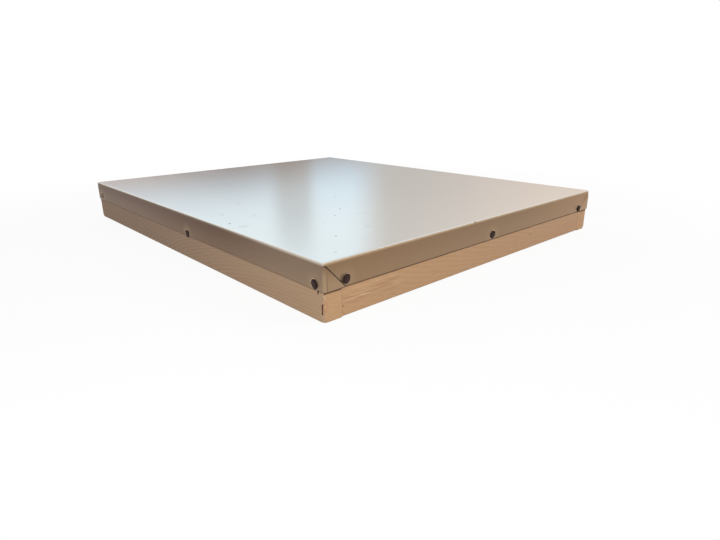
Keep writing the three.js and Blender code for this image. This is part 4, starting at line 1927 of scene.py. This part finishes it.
@dataclass
class Studio:
    """A pale floor, a soft room for the metal to mirror, soft lamps, and the camera at the photo's view.

    In the room, a span of headings counts degrees round each quarter, and a span of heights counts degrees
    up from the horizon.
    """

    floor_size: float = 12.0
    floor_paint: Colour = colour(160, 159, 157)
    floor_shown: Colour = colour(245, 245, 245)
    floor_white: float = 0.92
    floor_fade: Span = (0.4, 0.8)
    room_level: float = 0.38
    bright_wall: Colour = (0.88, 0.75, 0.66, 1.0)
    wall: Colour = (0.65, 0.61, 0.575, 1.0)
    sill: Colour = (0.21, 0.1, 0.045, 1.0)
    warm_sill: Colour = (0.45, 0.27, 0.19, 1.0)
    window: Colour = (0.95, 1.04, 1.08, 1.0)
    low_window: Colour = (0.785, 0.975, 1.13, 1.0)
    mullion: Colour = (0.655, 0.69, 0.705, 1.0)
    overhead: Colour = (0.86, 0.86, 0.85, 1.0)
    bright_headings: Span = (45.0, 22.0)
    wall_level: Span = (0.88, 0.22)
    wall_heights: Span = (7.5, 15.0)
    window_starts: Span = (44.0, 49.0)
    window_ends: Span = (86.0, 78.0)
    window_heights: Span = (9.0, 13.0)
    bar_starts: Span = (52.2, 53.8)
    bar_ends: Span = (58.0, 55.8)
    bar_heights: Span = (19.5, 12.5)
    sill_height: Span = (6.75, 2.1)
    sill_headings: Span = (48.0, 62.0)
    sill_edge: Span = (-0.7, 1.6)
    warm_headings: Span = (61.0, 74.0)
    overhead_heights: Span = (26.0, 52.0)
    lamps: tuple[Lamp, ...] = (
        Lamp("key_lamp", (0.9, -1.5, 0.9), 1.0, 16.0),
        Lamp("side_lamp", (-0.6, -0.6, 0.35), 0.3, 2.1),
        Lamp("back_lamp", (0.5, 1.7, 0.8), 1.0, 12.0),
    )
    camera_place: Triple = (-0.4705, -0.58353, 0.17924)
    camera_pan: float = math.radians(-42.38)
    camera_tilt: float = math.radians(71.139)
    camera_roll: float = math.radians(-0.387)
    camera_lens: float = 25.77
    camera_clip: float = 0.01

    def build(self) -> None:
        """Builds the floor, the room, the lamps and the camera."""
        self._floor()
        self._room()
        for lamp in self.lamps:
            self._hang(lamp)
        self._camera()

    def _floor(self) -> None:
        """The floor, clear from below. It is whiter to the camera and in mirror images than to the lamps."""
        bpy.ops.mesh.primitive_plane_add(size=self.floor_size)
        floor = bpy.context.object
        floor.name = "studio_floor"
        shop, material = ShaderShop.for_material("floor_paint")
        seen, mirrored = self._rays(shop)
        paint = shop.blend(seen, self.floor_paint, self.floor_shown)
        paint = shop.add("ShaderNodeBsdfDiffuse", {}, {"Color": paint}).outputs[0]
        white = shop.add("ShaderNodeEmission", {}, {"Strength": 1.0}).outputs[0]
        away = shop.measure("LENGTH", shop.add("ShaderNodeTexCoord").outputs["Object"])
        whiteness = self.floor_white + (1 - self.floor_white) * shop.step(away, *self.floor_fade)
        shown = shop.mix(whiteness * shop.smallest(seen + mirrored, 1.0), paint, white)
        below = shop.add("ShaderNodeNewGeometry").outputs["Backfacing"]
        surface = shop.mix(below, shown, shop.add("ShaderNodeBsdfTransparent").outputs[0])
        shop.add("ShaderNodeOutputMaterial", {}, {"Surface": surface})
        coat(floor, material)

    def _rays(self, shop: ShaderShop) -> tuple[Number, Number]:
        """What kind of ray meets a surface.

        Args:
            shop: Makes the nodes.

        Returns:
            1 for what the camera sees straight, and 1 for what it sees in a mirror image or through glass.
        """
        rays = shop.add("ShaderNodeLightPath").outputs
        straight, glossy, through = (
            Number(shop, rays[f"Is {kind} Ray"]) for kind in ("Camera", "Glossy", "Transmission"))
        return straight, glossy + through

    def _room(self) -> None:
        """The room: plain white to the camera, an even glow on the object, and soft windows in the metal.

        Each quarter of the room is alike: a pale wall, then two cool windows with a bar between them, over a
        dim sill that stands a little higher towards the quarter's end. Overhead all four are one ceiling.
        """
        world = bpy.context.scene.world or bpy.data.worlds.new("studio_room")
        bpy.context.scene.world = world
        world.use_nodes = True
        shop = ShaderShop(world.node_tree)
        seen, in_mirror = self._rays(shop)
        mirrored = self._background(shop, self._quarter(shop), 1.0)
        glow = self._background(shop, (1, 1, 1, 1), self.room_level)
        white = self._background(shop, (1, 1, 1, 1), 1.0)
        light = shop.mix(seen, shop.mix(in_mirror, glow, mirrored), white)
        shop.add("ShaderNodeOutputWorld", {}, {"Surface": light})

    def _background(self, shop: ShaderShop, shade: Input, strength: float) -> Socket:
        """Light from all round."""
        return shop.add("ShaderNodeBackground", {}, {"Color": shade, "Strength": strength}).outputs[0]

    def _quarter(self, shop: ShaderShop) -> Socket:
        """The colour of the room by heading and height.

        Args:
            shop: Makes the nodes.

        Returns:
            The colour.
        """
        x, y, z = shop.split(shop.add("ShaderNodeTexCoord").outputs["Generated"])
        turns = shop.math("ARCTAN2", y, x) * (2 / math.pi) + 4.0
        heading = 90.0 * shop.math("FRACT", turns)
        height = shop.math("ARCSINE", z) * (180 / math.pi)
        wall = shop.blend(shop.step(heading, *self.bright_headings), self.wall, self.bright_wall)
        level, rise = self.wall_level
        level = level + rise * shop.step(height, *self.wall_heights)
        wall = shop.vector("MULTIPLY", wall, shop.joined(level, level, level))
        window = shop.blend(shop.step(height, *self.window_heights), self.low_window, self.window)
        bar = shop.step(heading, *self.bar_starts) * shop.step(heading, *self.bar_ends)
        window = shop.blend(bar * shop.step(height, *self.bar_heights), window, self.mullion)
        low, rise = self.sill_height
        sill_height = low + rise * shop.step(heading, *self.sill_headings)
        sill = shop.blend(shop.step(heading, *self.warm_headings), self.sill, self.warm_sill)
        window = shop.blend(shop.step(height - sill_height, *self.sill_edge), sill, window)
        in_window = shop.step(heading, *self.window_starts) * shop.step(heading, *self.window_ends)
        room = shop.blend(in_window, wall, window)
        return shop.blend(shop.step(height, *self.overhead_heights), room, self.overhead)

    def _hang(self, lamp: Lamp) -> None:
        """Hangs a lamp that faces the cover.

        Args:
            lamp: The lamp.
        """
        light = bpy.data.lights.new(lamp.name, "AREA")
        light.size = lamp.size
        light.energy = lamp.power
        hung = bpy.data.objects.new(lamp.name, light)
        bpy.context.scene.collection.objects.link(hung)
        hung.location = lamp.place
        hung.visible_camera = False
        hung.visible_glossy = False
        hung.rotation_euler = (-Vector(lamp.place)).to_track_quat("-Z", "Y").to_euler()

    def _camera(self) -> None:
        """The camera at the photograph's place, with its turn given as pan, tilt and roll."""
        data = bpy.data.cameras.new("camera")
        data.lens = self.camera_lens
        data.clip_start = self.camera_clip
        camera = bpy.data.objects.new("camera", data)
        bpy.context.scene.collection.objects.link(camera)
        turn = Matrix.Rotation(self.camera_pan, 4, "Z") @ Matrix.Rotation(self.camera_tilt, 4, "X")
        turn = turn @ Matrix.Rotation(self.camera_roll, 4, "Z")
        camera.matrix_world = Matrix.Translation(self.camera_place) @ turn
        bpy.context.scene.camera = camera


def main() -> None:
    """Builds the cover from the inside out, then the studio."""
    logging.basicConfig(level=logging.INFO, format="%(message)s")
    HiddenBoard().dress()
    sites = [NailSite.of(name, FlatHeadNails.length) for name in nodes_with("_flange_nail_")]
    for assembly in (PineRim(), CornerStaples(), MetalTray(sites), FlatHeadNails(sites)):
        assembly.make()
    Studio().build()
    bpy.context.scene.view_settings.view_transform = "Standard"


if __name__ == "__main__":
    main()
